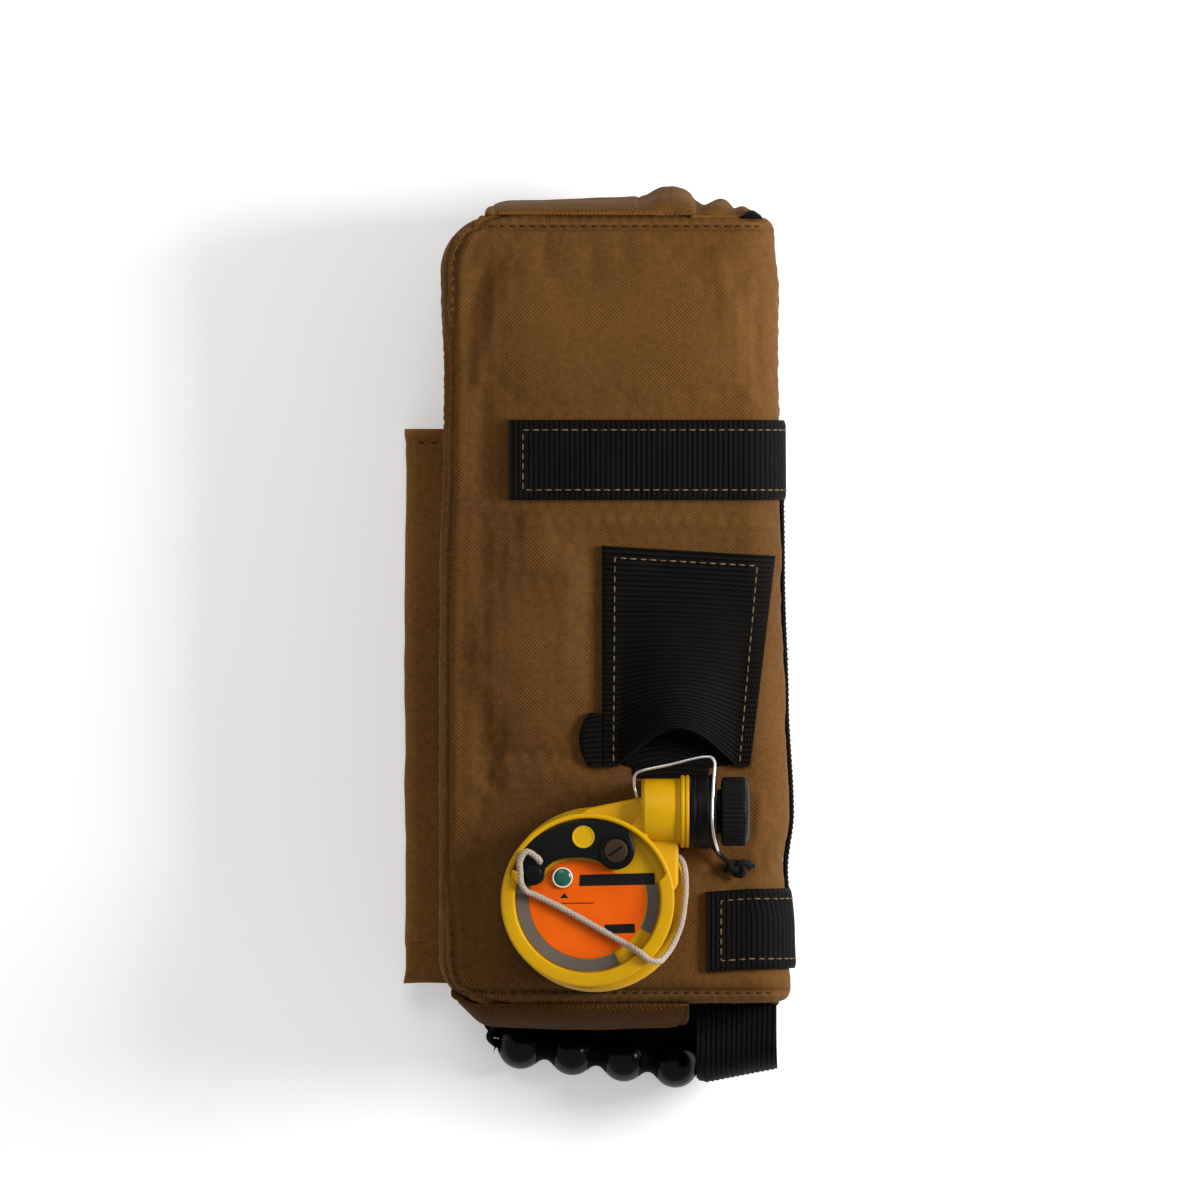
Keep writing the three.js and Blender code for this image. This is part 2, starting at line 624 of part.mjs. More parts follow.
function buildHandle() {
  for (let i = 0; i < BEAD_COUNT; i += 1) {
    const centre = beadCentre(i);
    add(`bead_${i + 1}`, beadGeometry().translate(centre.x, centre.y, centre.z), 0x0d0d0e, 0.15);
  }
  const first = beadCentre(0);
  const last = beadCentre(BEAD_COUNT - 1);
  const along = last.clone().sub(first).normalize();
  const startPoint = first.clone().addScaledVector(along, -THREAD_END_RUN);
  const endPoint = last.clone().addScaledVector(along, THREAD_END_RUN);
  const section = new THREE.Shape();
  section.absarc(0, 0, THREAD_RADIUS, 0, 2 * Math.PI, false);
  const thread = new THREE.ExtrudeGeometry(section, {
    extrudePath: new THREE.LineCurve3(startPoint, endPoint),
    steps: 1,
    curveSegments: 4,
  });
  add('handle_thread', thread, BLACK_WEB);

  // The strap leaves the cover's lower edge above the under-panel and comes down to the beads.
  const tuck = 0.25 * END_EDGE_RADIUS;
  const tuckedY = COVER_LOWER_Y + tuck;
  const tuckedZ = BACK_Z + roundInset(tuck, END_EDGE_RADIUS) - 1.5 * SEAT_GAP;
  const us = [0, 0.04, ...spread(8, 0.1, 0.9), 0.96, 1];
  const strap = sheet(us, spread(4), (u, v, upper) => {
    const edge = startPoint.clone().lerp(endPoint, u);
    const beadSide = edge.y + THREAD_RADIUS + SEAT_GAP;
    const clearSide = edge.y + BEAD_RADIUS + 2 * SEAT_GAP;
    const outerY = THREE.MathUtils.lerp(clearSide, beadSide, Math.abs(2 * u - 1) ** 40);
    const x = edge.x;
    const y = tuckedY + (outerY - tuckedY) * v;
    const z = tuckedZ + (beadHeight - HANDLE_STRAP_THICKNESS / 2 - tuckedZ) * Math.sin((Math.PI / 2) * v);
    return new THREE.Vector3(x, y, z + upper * HANDLE_STRAP_THICKNESS - HANDLE_STRAP_THICKNESS * (1 - v));
  });
  add('handle_strap', strap, BLACK_WEB);
}

// Inflator

function buildInflatorBody() {
  const ring = toSolid(puck(RING_RADIUS, RING_HEIGHT, RING_X, RING_Y, INFLATOR_Z, 48));
  const flank = toSolid(puck(FLANK_RADIUS, FLANK_HEIGHT, RING_X + FLANK_SHIFT, RING_Y, INFLATOR_Z, 48));
  const neckLength = NECK_RIGHT_X - NECK_LEFT_X;
  const neckProfile = [
    [0, 0], [0, NECK_RADIUS - 1], [1, NECK_RADIUS], [neckLength, NECK_RADIUS],
    [neckLength, FLANGE_RADIUS], [neckLength + FLANGE_LENGTH, FLANGE_RADIUS], [neckLength + FLANGE_LENGTH, 0],
  ];
  const neck = toSolid(turnedAlongX(neckProfile, 32, NECK_LEFT_X, NECK_Y, NECK_Z));
  const foot = new THREE.BoxGeometry(neckLength, 2 * NECK_RADIUS, NECK_AXIS_HEIGHT);
  foot.translate(NECK_LEFT_X + neckLength / 2, NECK_Y, INFLATOR_Z + NECK_AXIS_HEIGHT / 2);
  // Shoulder: from the ring's upper left tangent to the neck, and down its right flank.
  const shoulder = new THREE.Shape();
  shoulder.moveTo(RING_X - 0.1 * RING_RADIUS, RING_Y + 0.9 * RING_RADIUS);
  shoulder.lineTo(RING_X, RING_Y + 1.08 * RING_RADIUS);
  shoulder.lineTo(NECK_LEFT_X + 1, NECK_Y + 0.45 * NECK_RADIUS);
  shoulder.lineTo(NECK_RIGHT_X, NECK_Y - 0.5 * NECK_RADIUS);
  shoulder.lineTo(RING_X + FLANK_SHIFT + FLANK_RADIUS * 0.9, RING_Y + 0.12 * FLANK_RADIUS);
  shoulder.lineTo(RING_X, RING_Y);
  const arm = new THREE.ExtrudeGeometry(shoulder, { depth: RING_HEIGHT * 0.78, bevelEnabled: false });
  arm.translate(0, 0, INFLATOR_Z);
  const face = toSolid(puck(FACE_RADIUS, FACE_DEPTH + 1, RING_X, RING_Y, RING_TOP_Z - FACE_DEPTH, 48));
  const sector = toSolid(puck(LEVER_RECESS_RADIUS, FACE_DEPTH + 1, RING_X, RING_Y, RING_TOP_Z - FACE_DEPTH, 48));
  const upper = new THREE.BoxGeometry(3 * RING_RADIUS, 2 * RING_RADIUS, 3 * FACE_DEPTH);
  upper.translate(RING_X, RING_Y + LEVER_RECESS_FROM_Y + RING_RADIUS, RING_TOP_Z);
  const recess = face.add(sector.intersect(toSolid(upper)));
  const body = ring.add(flank).add(neck).add(toSolid(foot)).add(toSolid(arm)).subtract(recess);
  add('inflator_body', toGeometry(body), YELLOW, 0.35);
}

function leverShape() {
  const reach = LEVER_RECESS_RADIUS - 2 * SEAT_GAP;
  const shape = new THREE.Shape();
  shape.absarc(0, 0, reach, rad(140), rad(58), true);
  shape.absarc(LEVER_PIVOT_X, LEVER_PIVOT_Y, LEVER_PIVOT_RADIUS, rad(15), rad(-120), true);
  shape.quadraticCurveTo(0.1 * reach, 0.52 * reach, -0.23 * reach, 0.52 * reach);
  shape.quadraticCurveTo(-0.45 * reach, 0.52 * reach, LEVER_END_X + LEVER_END_RADIUS, LEVER_END_Y + 0.5);
  shape.absarc(LEVER_END_X, LEVER_END_Y, LEVER_END_RADIUS, rad(-10), rad(-190), true);
  shape.closePath();
  return shape;
}

function buildInflatorFace() {
  const label = puck(FACE_RADIUS - SEAT_GAP, LABEL_THICKNESS, RING_X, RING_Y, LABEL_Z, 40);
  add('label_disc', label, 0xeb6414, 0.5);
  const onLabel = (radius, height, x, y, sides) => puck(radius, height, RING_X + x, RING_Y + y, LEVER_Z, sides);
  const lever = new THREE.ExtrudeGeometry(leverShape(), {
    depth: LEVER_THICKNESS,
    bevelEnabled: false,
    curveSegments: 8,
  });
  const hole = (radius, x, y) => toSolid(onLabel(radius + SEAT_GAP, 3 * LEVER_THICKNESS, x, y, 24));
  const openLever = toSolid(lever.translate(RING_X, RING_Y, LEVER_Z))
    .subtract(hole(WINDOW_RADIUS, WINDOW_X, WINDOW_Y).translate([0, 0, -LEVER_THICKNESS]))
    .subtract(hole(PIVOT_CAP_RADIUS, LEVER_PIVOT_X, LEVER_PIVOT_Y).translate([0, 0, -LEVER_THICKNESS]));
  add('pull_lever', toGeometry(openLever), 0x151515, 0.4);
  add('face_window', onLabel(WINDOW_RADIUS, LEVER_THICKNESS - SEAT_GAP, WINDOW_X, WINDOW_Y, 24), YELLOW, 0.3);
  const capHeight = LEVER_THICKNESS + 2 * SEAT_GAP;
  add('lever_pivot', onLabel(PIVOT_CAP_RADIUS, capHeight, LEVER_PIVOT_X, LEVER_PIVOT_Y, 24), 0x3a2f2a, 0.5);
  const dot = onLabel(INDICATOR_RADIUS, INDICATOR_HEIGHT, INDICATOR_X, INDICATOR_Y, 24);
  add('indicator', dot, 0x12704a, 0.25);
}

// White cord: round the lever's end, across the face, over the rim and up the flank.
// Points are measured from the ring's centre and its top.
const CORD_ROUTE = [
  [-16.4, 13.6, 1.6],
  [-19.2, 15.4, 1.9],
  [-21.4, 12.6, 1.7],
  [-21.3, 8.8, 1.4],
  [-21.1, 5.4, 1.2],
  [-19.4, 2.8, -0.8],
  [-16.2, 1.4, -2.0],
  [-6.0, -3.7, -2.0],
  [8.0, -11.6, -2.0],
  [12.2, -14.0, -1.5],
  [14.6, -15.4, 0.4],
  [16.8, -16.8, 1.5],
  [19.6, -18.9, 1.5],
  [22.4, -19.4, 0.4],
  [24.2, -18.2, -2.4],
  [27.0, -14.2, -5.4],
  [29.7, -7.4, -7.2],
  [31.0, 2.1, -7.4],
  [31.2, 8.8, -7.4],
];

// Wire clip: from the neck's corner over the collar and down its other side.
// Points are measured from the neck's left end, its middle and its axis.
const CLIP_ROUTE = [
  [-1.3, 4.6, 5.4],
  [-2.2, 8.0, 6.0],
  [-2.0, 11.4, 6.8],
  [0.6, 13.1, 7.4],
  [9.0, 14.9, 8.0],
  [19.4, 17.3, 9.0],
  [23.0, 16.2, 9.4],
  [22.9, 10.0, 11.4],
  [22.4, 0.0, 13.2],
  [22.8, -6.8, 12.0],
  [24.2, -12.2, 6.2],
  [24.6, -13.6, 0.4],
];

function buildInflatorTrim() {
  const cordRoute = CORD_ROUTE.map(([x, y, z]) => [RING_X + x, RING_Y + y, RING_TOP_Z + z]);
  add('pull_cord', wireAlong(cordRoute, CORD_RADIUS, 46), 0xd9d0c0, 0.8);
  const collarX = NECK_RIGHT_X + FLANGE_LENGTH + SEAT_GAP;
  const collar = [
    [0, 0], [0, COLLAR_RADIUS - 0.6], [0.6, COLLAR_RADIUS],
    [COLLAR_LENGTH - 0.6, COLLAR_RADIUS], [COLLAR_LENGTH, COLLAR_RADIUS - 0.6], [COLLAR_LENGTH, 0],
  ];
  add('valve_collar', turnedAlongX(collar, 30, collarX, NECK_Y, NECK_Z), 0x141414, 0.45);
  const knobX = collarX + COLLAR_LENGTH + SEAT_GAP;
  const knob = [
    [0, 0], [0, KNOB_STEM_RADIUS], [KNOB_STEM_LENGTH, KNOB_STEM_RADIUS], [KNOB_STEM_LENGTH, KNOB_RADIUS],
    [KNOB_LENGTH - 1.6, KNOB_RADIUS], [KNOB_LENGTH, KNOB_RADIUS - 1.6], [KNOB_LENGTH, 0],
  ];
  add('end_knob', turnedAlongX(knob, 30, knobX, NECK_Y, NECK_Z), 0x1a1a1a, 0.45);
  const clipRoute = CLIP_ROUTE.map(([x, y, z]) => [NECK_LEFT_X + x, NECK_Y + y, NECK_Z + z]);
  add('wire_clip', wireAlong(clipRoute, CLIP_WIRE_RADIUS, 40), 0xb8b8b4, 0.25, 1);
  const knot = new THREE.IcosahedronGeometry(0.5, 2).scale(KNOT_LENGTH, KNOT_WIDTH, KNOT_HEIGHT);
  knot.rotateZ(-0.15);
  knot.translate(KNOT_X, KNOT_Y, faceHeight(KNOT_X, KNOT_Y) + SEAT_GAP + KNOT_HEIGHT / 2);
  add('cord_knot', knot, BLACK_WEB);
}

buildCover();
buildFlaps();
buildPocket();
buildWebbing();
buildSleeve();
buildLoop();
buildHandle();
buildInflatorBody();
buildInflatorFace();
buildInflatorTrim();

// The footprint's middle goes to the origin.
const footprint = new THREE.Box3().setFromObject(pack);
pack.position.set(-(footprint.min.x + footprint.max.x) / 2, -(footprint.min.y + footprint.max.y) / 2, 0);

export default pack;
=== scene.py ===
"""Looks of the inflatable belt pack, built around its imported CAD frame.

Shapes are laid out in millimetres on the part's own layout and placed by the frame's nodes.
"""

import json
import math

import bmesh
import bpy
import numpy as np
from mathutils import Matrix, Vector, kdtree, noise

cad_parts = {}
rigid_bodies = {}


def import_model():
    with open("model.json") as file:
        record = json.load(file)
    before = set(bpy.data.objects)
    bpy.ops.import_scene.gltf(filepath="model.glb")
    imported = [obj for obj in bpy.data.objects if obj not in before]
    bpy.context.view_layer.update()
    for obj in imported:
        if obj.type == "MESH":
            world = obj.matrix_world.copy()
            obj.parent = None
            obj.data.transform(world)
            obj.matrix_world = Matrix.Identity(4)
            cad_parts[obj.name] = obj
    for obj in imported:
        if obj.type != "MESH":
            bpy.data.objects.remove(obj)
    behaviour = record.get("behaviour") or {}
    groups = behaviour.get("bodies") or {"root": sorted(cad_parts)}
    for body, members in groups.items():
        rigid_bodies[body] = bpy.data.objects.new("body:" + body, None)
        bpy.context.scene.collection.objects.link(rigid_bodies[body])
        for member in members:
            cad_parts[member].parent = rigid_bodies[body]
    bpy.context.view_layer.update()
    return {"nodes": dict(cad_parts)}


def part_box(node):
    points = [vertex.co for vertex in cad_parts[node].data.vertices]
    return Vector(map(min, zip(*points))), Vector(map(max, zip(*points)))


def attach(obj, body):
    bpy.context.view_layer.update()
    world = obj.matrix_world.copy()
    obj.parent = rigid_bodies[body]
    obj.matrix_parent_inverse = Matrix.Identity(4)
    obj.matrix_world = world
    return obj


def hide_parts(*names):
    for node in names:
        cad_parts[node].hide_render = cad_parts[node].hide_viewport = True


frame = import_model()

MM = 0.001
TAU = 2 * math.pi

# Layout in millimetres, the same as the part's
SEAT_GAP = 0.3
COVER_LENGTH = 249.5
COVER_WIDTH = 108.5
COVER_THICKNESS = 50
COVER_CROWN = 1.8
COVER_LOWER_Y = -115.4
COVER_LEFT_X = -51
LEFT_TOP_RADIUS = 18
LEFT_LOWER_RADIUS = 14
RIGHT_CORNER_RADIUS = 5
LEFT_EDGE_RADIUS = 7
RIGHT_EDGE_RADIUS = 12
END_EDGE_RADIUS = 9
POCKET_LEFT_X = -62.4
POCKET_WIDTH = 103.4
POCKET_LENGTH = 172
POCKET_LOWER_Y = -105
POCKET_THICKNESS = 12
POCKET_CORNER_RADIUS = 8
WEB_THICKNESS = 1.8
WEB_WIDTH = 25.4
RING_X = -4.1
RING_Y = -82.7
RING_RADIUS = 27.5
RING_HEIGHT = 21
NECK_Y = -54.7
NECK_LEFT_X = 12.9
NECK_RIGHT_X = 25.2
NECK_AXIS_HEIGHT = 12.2

BACK_Z = POCKET_THICKNESS + SEAT_GAP
FACE_Z = BACK_Z + COVER_THICKNESS
COVER_TOP_Y = COVER_LOWER_Y + COVER_LENGTH
COVER_RIGHT_X = COVER_LEFT_X + COVER_WIDTH
INFLATOR_Z = FACE_Z + COVER_CROWN + SEAT_GAP
RING_TOP_Z = INFLATOR_Z + RING_HEIGHT
NECK_Z = INFLATOR_Z + NECK_AXIS_HEIGHT

# The layout's place in the row frame, from where the frame holds the pocket
pocket_low, pocket_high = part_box("pocket")
SHIFT = np.array([
    pocket_low[0] / MM - POCKET_LEFT_X,
    pocket_high[1] / MM - (POCKET_LOWER_Y + POCKET_LENGTH),
    0.0,
])

# Side lines of the cover from its lower end to its top: share of the length, then how far the
# left and right edges lie towards +X, as shares of the width
SIDE_LINES = np.array([
    (0.00, 0.000, 0.026),
    (0.09, 0.000, 0.018),
    (0.17, 0.000, 0.004),
    (0.24, 0.000, 0.021),
    (0.38, 0.000, 0.006),
    (0.55, 0.002, -0.006),
    (0.68, 0.012, -0.008),
    (0.80, 0.015, -0.010),
    (0.90, 0.004, -0.008),
    (1.00, 0.000, -0.026),
])


def eased(table, column, share):
    """Value of a table's column at a share of its length, eased from row to row."""
    at = table[:, 0]
    if share <= at[0]:
        return table[0, column]
    if share >= at[-1]:
        return table[-1, column]
    k = int(np.searchsorted(at, share, side="right"))
    t = (share - at[k - 1]) / (at[k] - at[k - 1])
    a, b = table[k - 1, column], table[k, column]
    return a + (b - a) * t * t * (3 - 2 * t)


def round_inset(distance, radius):
    """How far a round corner lies inside its square one, at a distance from the edge."""
    if distance >= radius:
        return 0.0
    left = radius - max(distance, 0.0)
    return radius - math.sqrt(max(radius * radius - left * left, 0.0))


def smooth(x, low, high):
    t = min(max((x - low) / (high - low), 0.0), 1.0)
    return t * t * (3 - 2 * t)


def bump_at(x, middle, width):
    return math.exp(-(((x - middle) / width) ** 2))


def fuzz(x, y, z, scale, seed=0.0):
    """Smooth noise from -1 to 1, with lumps about scale millimetres across."""
    return noise.noise(Vector((x / scale + seed, y / scale - 1.7 * seed, z / scale + 0.6 * seed)))


class Section:
    """The cover's cross-section at y: straight sides joined by round edges."""

    def __init__(self, y):
        share = (y - COVER_LOWER_Y) / COVER_LENGTH
        from_lower = y - COVER_LOWER_Y
        from_top = COVER_TOP_Y - y
        left_corner = round_inset(from_lower, LEFT_LOWER_RADIUS) + round_inset(from_top, LEFT_TOP_RADIUS)
        right_corner = round_inset(min(from_lower, from_top), RIGHT_CORNER_RADIUS)
        drop = round_inset(min(from_lower, from_top), END_EDGE_RADIUS)
        self.y = y
        self.left = COVER_LEFT_X + COVER_WIDTH * eased(SIDE_LINES, 1, share) + left_corner
        self.right = COVER_RIGHT_X + COVER_WIDTH * eased(SIDE_LINES, 2, share) - right_corner
        self.bottom = BACK_Z + drop
        self.top = FACE_Z - drop
        self.crown = COVER_CROWN * max(0.0, 1 - (1 - 2 * share) ** 6)

    def face_height(self, x):
        low = self.left + LEFT_EDGE_RADIUS
        high = self.right - RIGHT_EDGE_RADIUS
        across = min(max((2 * x - low - high) / (high - low), -1), 1)
        drop = round_inset(x - self.left, LEFT_EDGE_RADIUS) + round_inset(self.right - x, RIGHT_EDGE_RADIUS)
        return self.top + self.crown * (1 - across * across) - drop


def face_height(x, y):
    return Section(y).face_height(x)


# Mesh tools


def new_object(name, verts, faces, material, uvs=None):
    """Smooth-shaded object from points in layout millimetres."""
    mesh = bpy.data.meshes.new(name)
    placed = (np.asarray(verts, float) + SHIFT) * MM
    mesh.from_pydata(placed.tolist(), [], [tuple(f) for f in faces])
    mesh.materials.append(material)
    if uvs is not None:
        layer = mesh.uv_layers.new(name="cut")
        loops = np.empty(len(mesh.loops), np.int32)
        mesh.loops.foreach_get("vertex_index", loops)
        layer.data.foreach_set("uv", np.asarray(uvs, float)[loops].ravel())
    mesh.polygons.foreach_set("use_smooth", [True] * len(mesh.polygons))
    mesh.update()
    obj = bpy.data.objects.new(name, mesh)
    bpy.context.scene.collection.objects.link(obj)
    return obj


def outward(obj, weld=0.0):
    """Turns every face of a closed mesh to face out, after welding points that close in metres."""
    bm = bmesh.new()
    bm.from_mesh(obj.data)
    if weld:
        bmesh.ops.remove_doubles(bm, verts=bm.verts, dist=weld)
    bmesh.ops.recalc_face_normals(bm, faces=bm.faces)
    bm.to_mesh(obj.data)
    bm.free()


def show(obj, slot, *nodes):
    """Puts a piece on the body and hides the CAD nodes it stands for; slot is not used."""
    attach(obj, "root")
    if nodes:
        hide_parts(*nodes)
    return obj


def grid_normals(points):
    du = np.gradient(points, axis=0)
    dv = np.gradient(points, axis=1)
    n = np.cross(du, dv)
    return n / np.maximum(np.linalg.norm(n, axis=2, keepdims=True), 1e-9)


def grid_lengths(points):
    """Running lengths along both ways of a grid, in millimetres."""
    m, n = points.shape[:2]
    along = np.zeros((m, n))
    across = np.zeros((m, n))
    along[1:] = np.cumsum(np.linalg.norm(np.diff(points, axis=0), axis=2), axis=0)
    across[:, 1:] = np.cumsum(np.linalg.norm(np.diff(points, axis=1), axis=2), axis=1)
    return along, across


def grid_faces(index):
    """Quads between the neighbours in a grid of point numbers."""
    corners = [index[:-1, :-1], index[1:, :-1], index[1:, 1:], index[:-1, 1:]]
    return np.stack(corners, axis=-1).reshape(-1, 4)


def around_faces(index):
    """Quads of a grid whose last column joins its first."""
    return np.concatenate([grid_faces(index), grid_faces(index[:, [-1, 0]])])


def turned_faces(steps, rows):
    """Quads of a turned shape: steps round the axis, each with rows of points."""
    faces = []
    for i in range(steps):
        j = (i + 1) % steps
        for k in range(rows - 1):
            faces.append((i * rows + k, j * rows + k, j * rows + k + 1, i * rows + k + 1))
    return faces


def cloth_sheet(name, points, thickness, material, relief=None, flip=False, uv=None):
    """Closed thin solid on the grid of its lower side, with relief(along, across) on the upper."""
    points = np.asarray(points, float)
    m, n = points.shape[:2]
    normals = grid_normals(points) * (-1 if flip else 1)
    along, across = grid_lengths(points)
    rise = np.full((m, n), float(thickness))
    if relief is not None:
        rise += relief(along, across)
    upper = points + normals * rise[..., None]
    verts = np.concatenate([points.reshape(-1, 3), upper.reshape(-1, 3)])
    cut = np.stack([along, across], axis=2).reshape(-1, 2) if uv is None else uv.reshape(-1, 2)
    index = np.arange(m * n).reshape(m, n)
    top = m * n
    faces = [grid_faces(index), grid_faces(index + top)]
    for edge in (index[0], index[-1], index[:, 0], index[:, -1]):
        faces.append(np.stack([edge[:-1], edge[1:], edge[1:] + top, edge[:-1] + top], axis=-1))
    obj = new_object(name, verts, np.concatenate(faces), material, np.concatenate([cut, cut]))
    outward(obj)
    return obj


def join(name, parts):
    """One object from several, with their materials kept."""
    for obj in bpy.context.scene.objects:
        obj.select_set(False)
    for part in parts:
        part.select_set(True)
    bpy.context.view_layer.objects.active = parts[0]
    bpy.ops.object.join()
    parts[0].name = name
    return parts[0]


def lathe(name, profile, material, centre, axis="z", steps=96, ripple=None):
    """Turned closed piece. profile holds (distance along the axis, radius), from axis to axis."""
    verts = []
    for i in range(steps):
        angle = TAU * i / steps
        for along, radius in profile:
            r = radius if ripple is None else ripple(angle, along, radius)
            a, b = r * math.cos(angle), r * math.sin(angle)
            local = (a, b, along) if axis == "z" else (along, a, b)
            verts.append(np.add(local, centre))
    obj = new_object(name, verts, turned_faces(steps, len(profile)), material)
    outward(obj, weld=0.01 * MM)
    soften(obj, 40)
    return obj


def soften(obj, degrees):
    """Smooth shading that keeps edges sharper than the angle."""
    obj.data.polygons.foreach_set("use_smooth", [True] * len(obj.data.polygons))
    obj.data.set_sharp_from_angle(angle=math.radians(degrees))


def rounded_corners(points, radius, steps=4):
    """Profile with each inner corner turned into an arc of the radius."""
    out = [points[0]]
    for before, here, after in zip(points, points[1:], points[2:]):
        a = np.subtract(before, here)
        b = np.subtract(after, here)
        reach = min(radius, 0.45 * np.linalg.norm(a), 0.45 * np.linalg.norm(b))
        start = here + a / np.linalg.norm(a) * reach
        end = here + b / np.linalg.norm(b) * reach
        for t in np.linspace(0, 1, steps + 1):
            out.append(tuple((1 - t) ** 2 * start + 2 * t * (1 - t) * np.array(here) + t * t * end))
    out.append(points[-1])
    return out


def smooth_route(points, step):
    """Points about a step apart on a smooth curve through the given ones."""
    pts = [Vector(p) for p in points]
    pts = [2 * pts[0] - pts[1]] + pts + [2 * pts[-1] - pts[-2]]
    route = []
    for p0, p1, p2, p3 in zip(pts, pts[1:], pts[2:], pts[3:]):
        count = max(2, int((p2 - p1).length / step))
        for t in np.linspace(0, 1, count, endpoint=False):
            route.append(0.5 * (
                2 * p1 + (p2 - p0) * t
                + (2 * p0 - 5 * p1 + 4 * p2 - p3) * t * t
                + (3 * p1 - p0 - 3 * p2 + p3) * t * t * t
            ))
    route.append(pts[-2])
    return route


def running_lengths(path):
    return np.concatenate([[0], np.cumsum([(b - a).length for a, b in zip(path, path[1:])])])


def tube(name, route, radius, material, sides=14, swell=None):
    """Round closed tube along a route, with its radius times swell(share, angle, length)."""
    verts = []
    uvs = []
    count = len(route)
    side = None
    lengths = running_lengths(route)
    for i, point in enumerate(route):
        tangent = (route[min(i + 1, count - 1)] - route[max(i - 1, 0)]).normalized()
        if side is None:
            side = tangent.orthogonal().normalized()
        side = (side - tangent * side.dot(tangent)).normalized()
        other = tangent.cross(side)
        for k in range(sides):
            angle = TAU * k / sides
            r = radius * (1 if swell is None else swell(i / (count - 1), angle, lengths[i]))
            verts.append(point + side * r * math.cos(angle) + other * r * math.sin(angle))
            uvs.append((lengths[i], radius * TAU * k / sides))
    faces = []
    for i in range(count - 1):
        for k in range(sides):
            j = (k + 1) % sides
            faces.append((i * sides + k, i * sides + j, (i + 1) * sides + j, (i + 1) * sides + k))
    faces.append(tuple(range(sides))[::-1])
    faces.append(tuple((count - 1) * sides + k for k in range(sides)))
    obj = new_object(name, [tuple(v) for v in verts], faces, material, uvs)
    outward(obj)
    soften(obj, 60)
    return obj


def stitch_row(name, path, out, material, pitch=3.2, length=2.3, radius=0.36, sunk=0.1):
    """Thread stitches laid end to end along a path on cloth; out is a normal, or one a point."""
    path = [Vector(p) for p in path]
    normals = [Vector(n).normalized() for n in (out if isinstance(out, list) else [out] * len(path))]
    lengths = running_lengths(path)

    def place(distance):
        k = min(int(np.searchsorted(lengths, distance, side="right")), len(path) - 1)
        span = max(lengths[k] - lengths[k - 1], 1e-6)
        t = (distance - lengths[k - 1]) / span
        return path[k - 1].lerp(path[k], t), normals[k - 1].lerp(normals[k], t).normalized()

    verts = []
    faces = []
    rings, sides = 5, 6
    count = int(lengths[-1] / pitch)
    for s in range(count):
        middle = (s + 0.5) * lengths[-1] / count
        base = len(verts)
        for i in range(rings):
            t = i / (rings - 1) * 2 - 1
            point, normal = place(middle + t * length / 2)
            ahead, _ = place(middle + t * length / 2 + 0.05)
            tangent = (ahead - point).normalized()
            across = normal.cross(tangent).normalized()
            arch = math.sqrt(max(1 - t * t, 0.02))
            centre = point + normal * (radius * arch - sunk - radius * 0.6)
            for k in range(sides):
                angle = TAU * k / sides
                r = radius * (0.45 + 0.55 * arch)
                verts.append(tuple(centre + across * r * math.cos(angle) + normal * r * math.sin(angle)))
        for i in range(rings - 1):
            for k in range(sides):
                j = (k + 1) % sides
                a = base + i * sides
                faces.append((a + k, a + j, a + sides + j, a + sides + k))
        faces.append(tuple(base + k for k in range(sides))[::-1])
        faces.append(tuple(base + (rings - 1) * sides + k for k in range(sides)))
    obj = new_object(name, verts, faces, material)
    outward(obj)
    return obj


# Materials

RIB_PITCH = 1.62
RIB_HEIGHT = 0.3


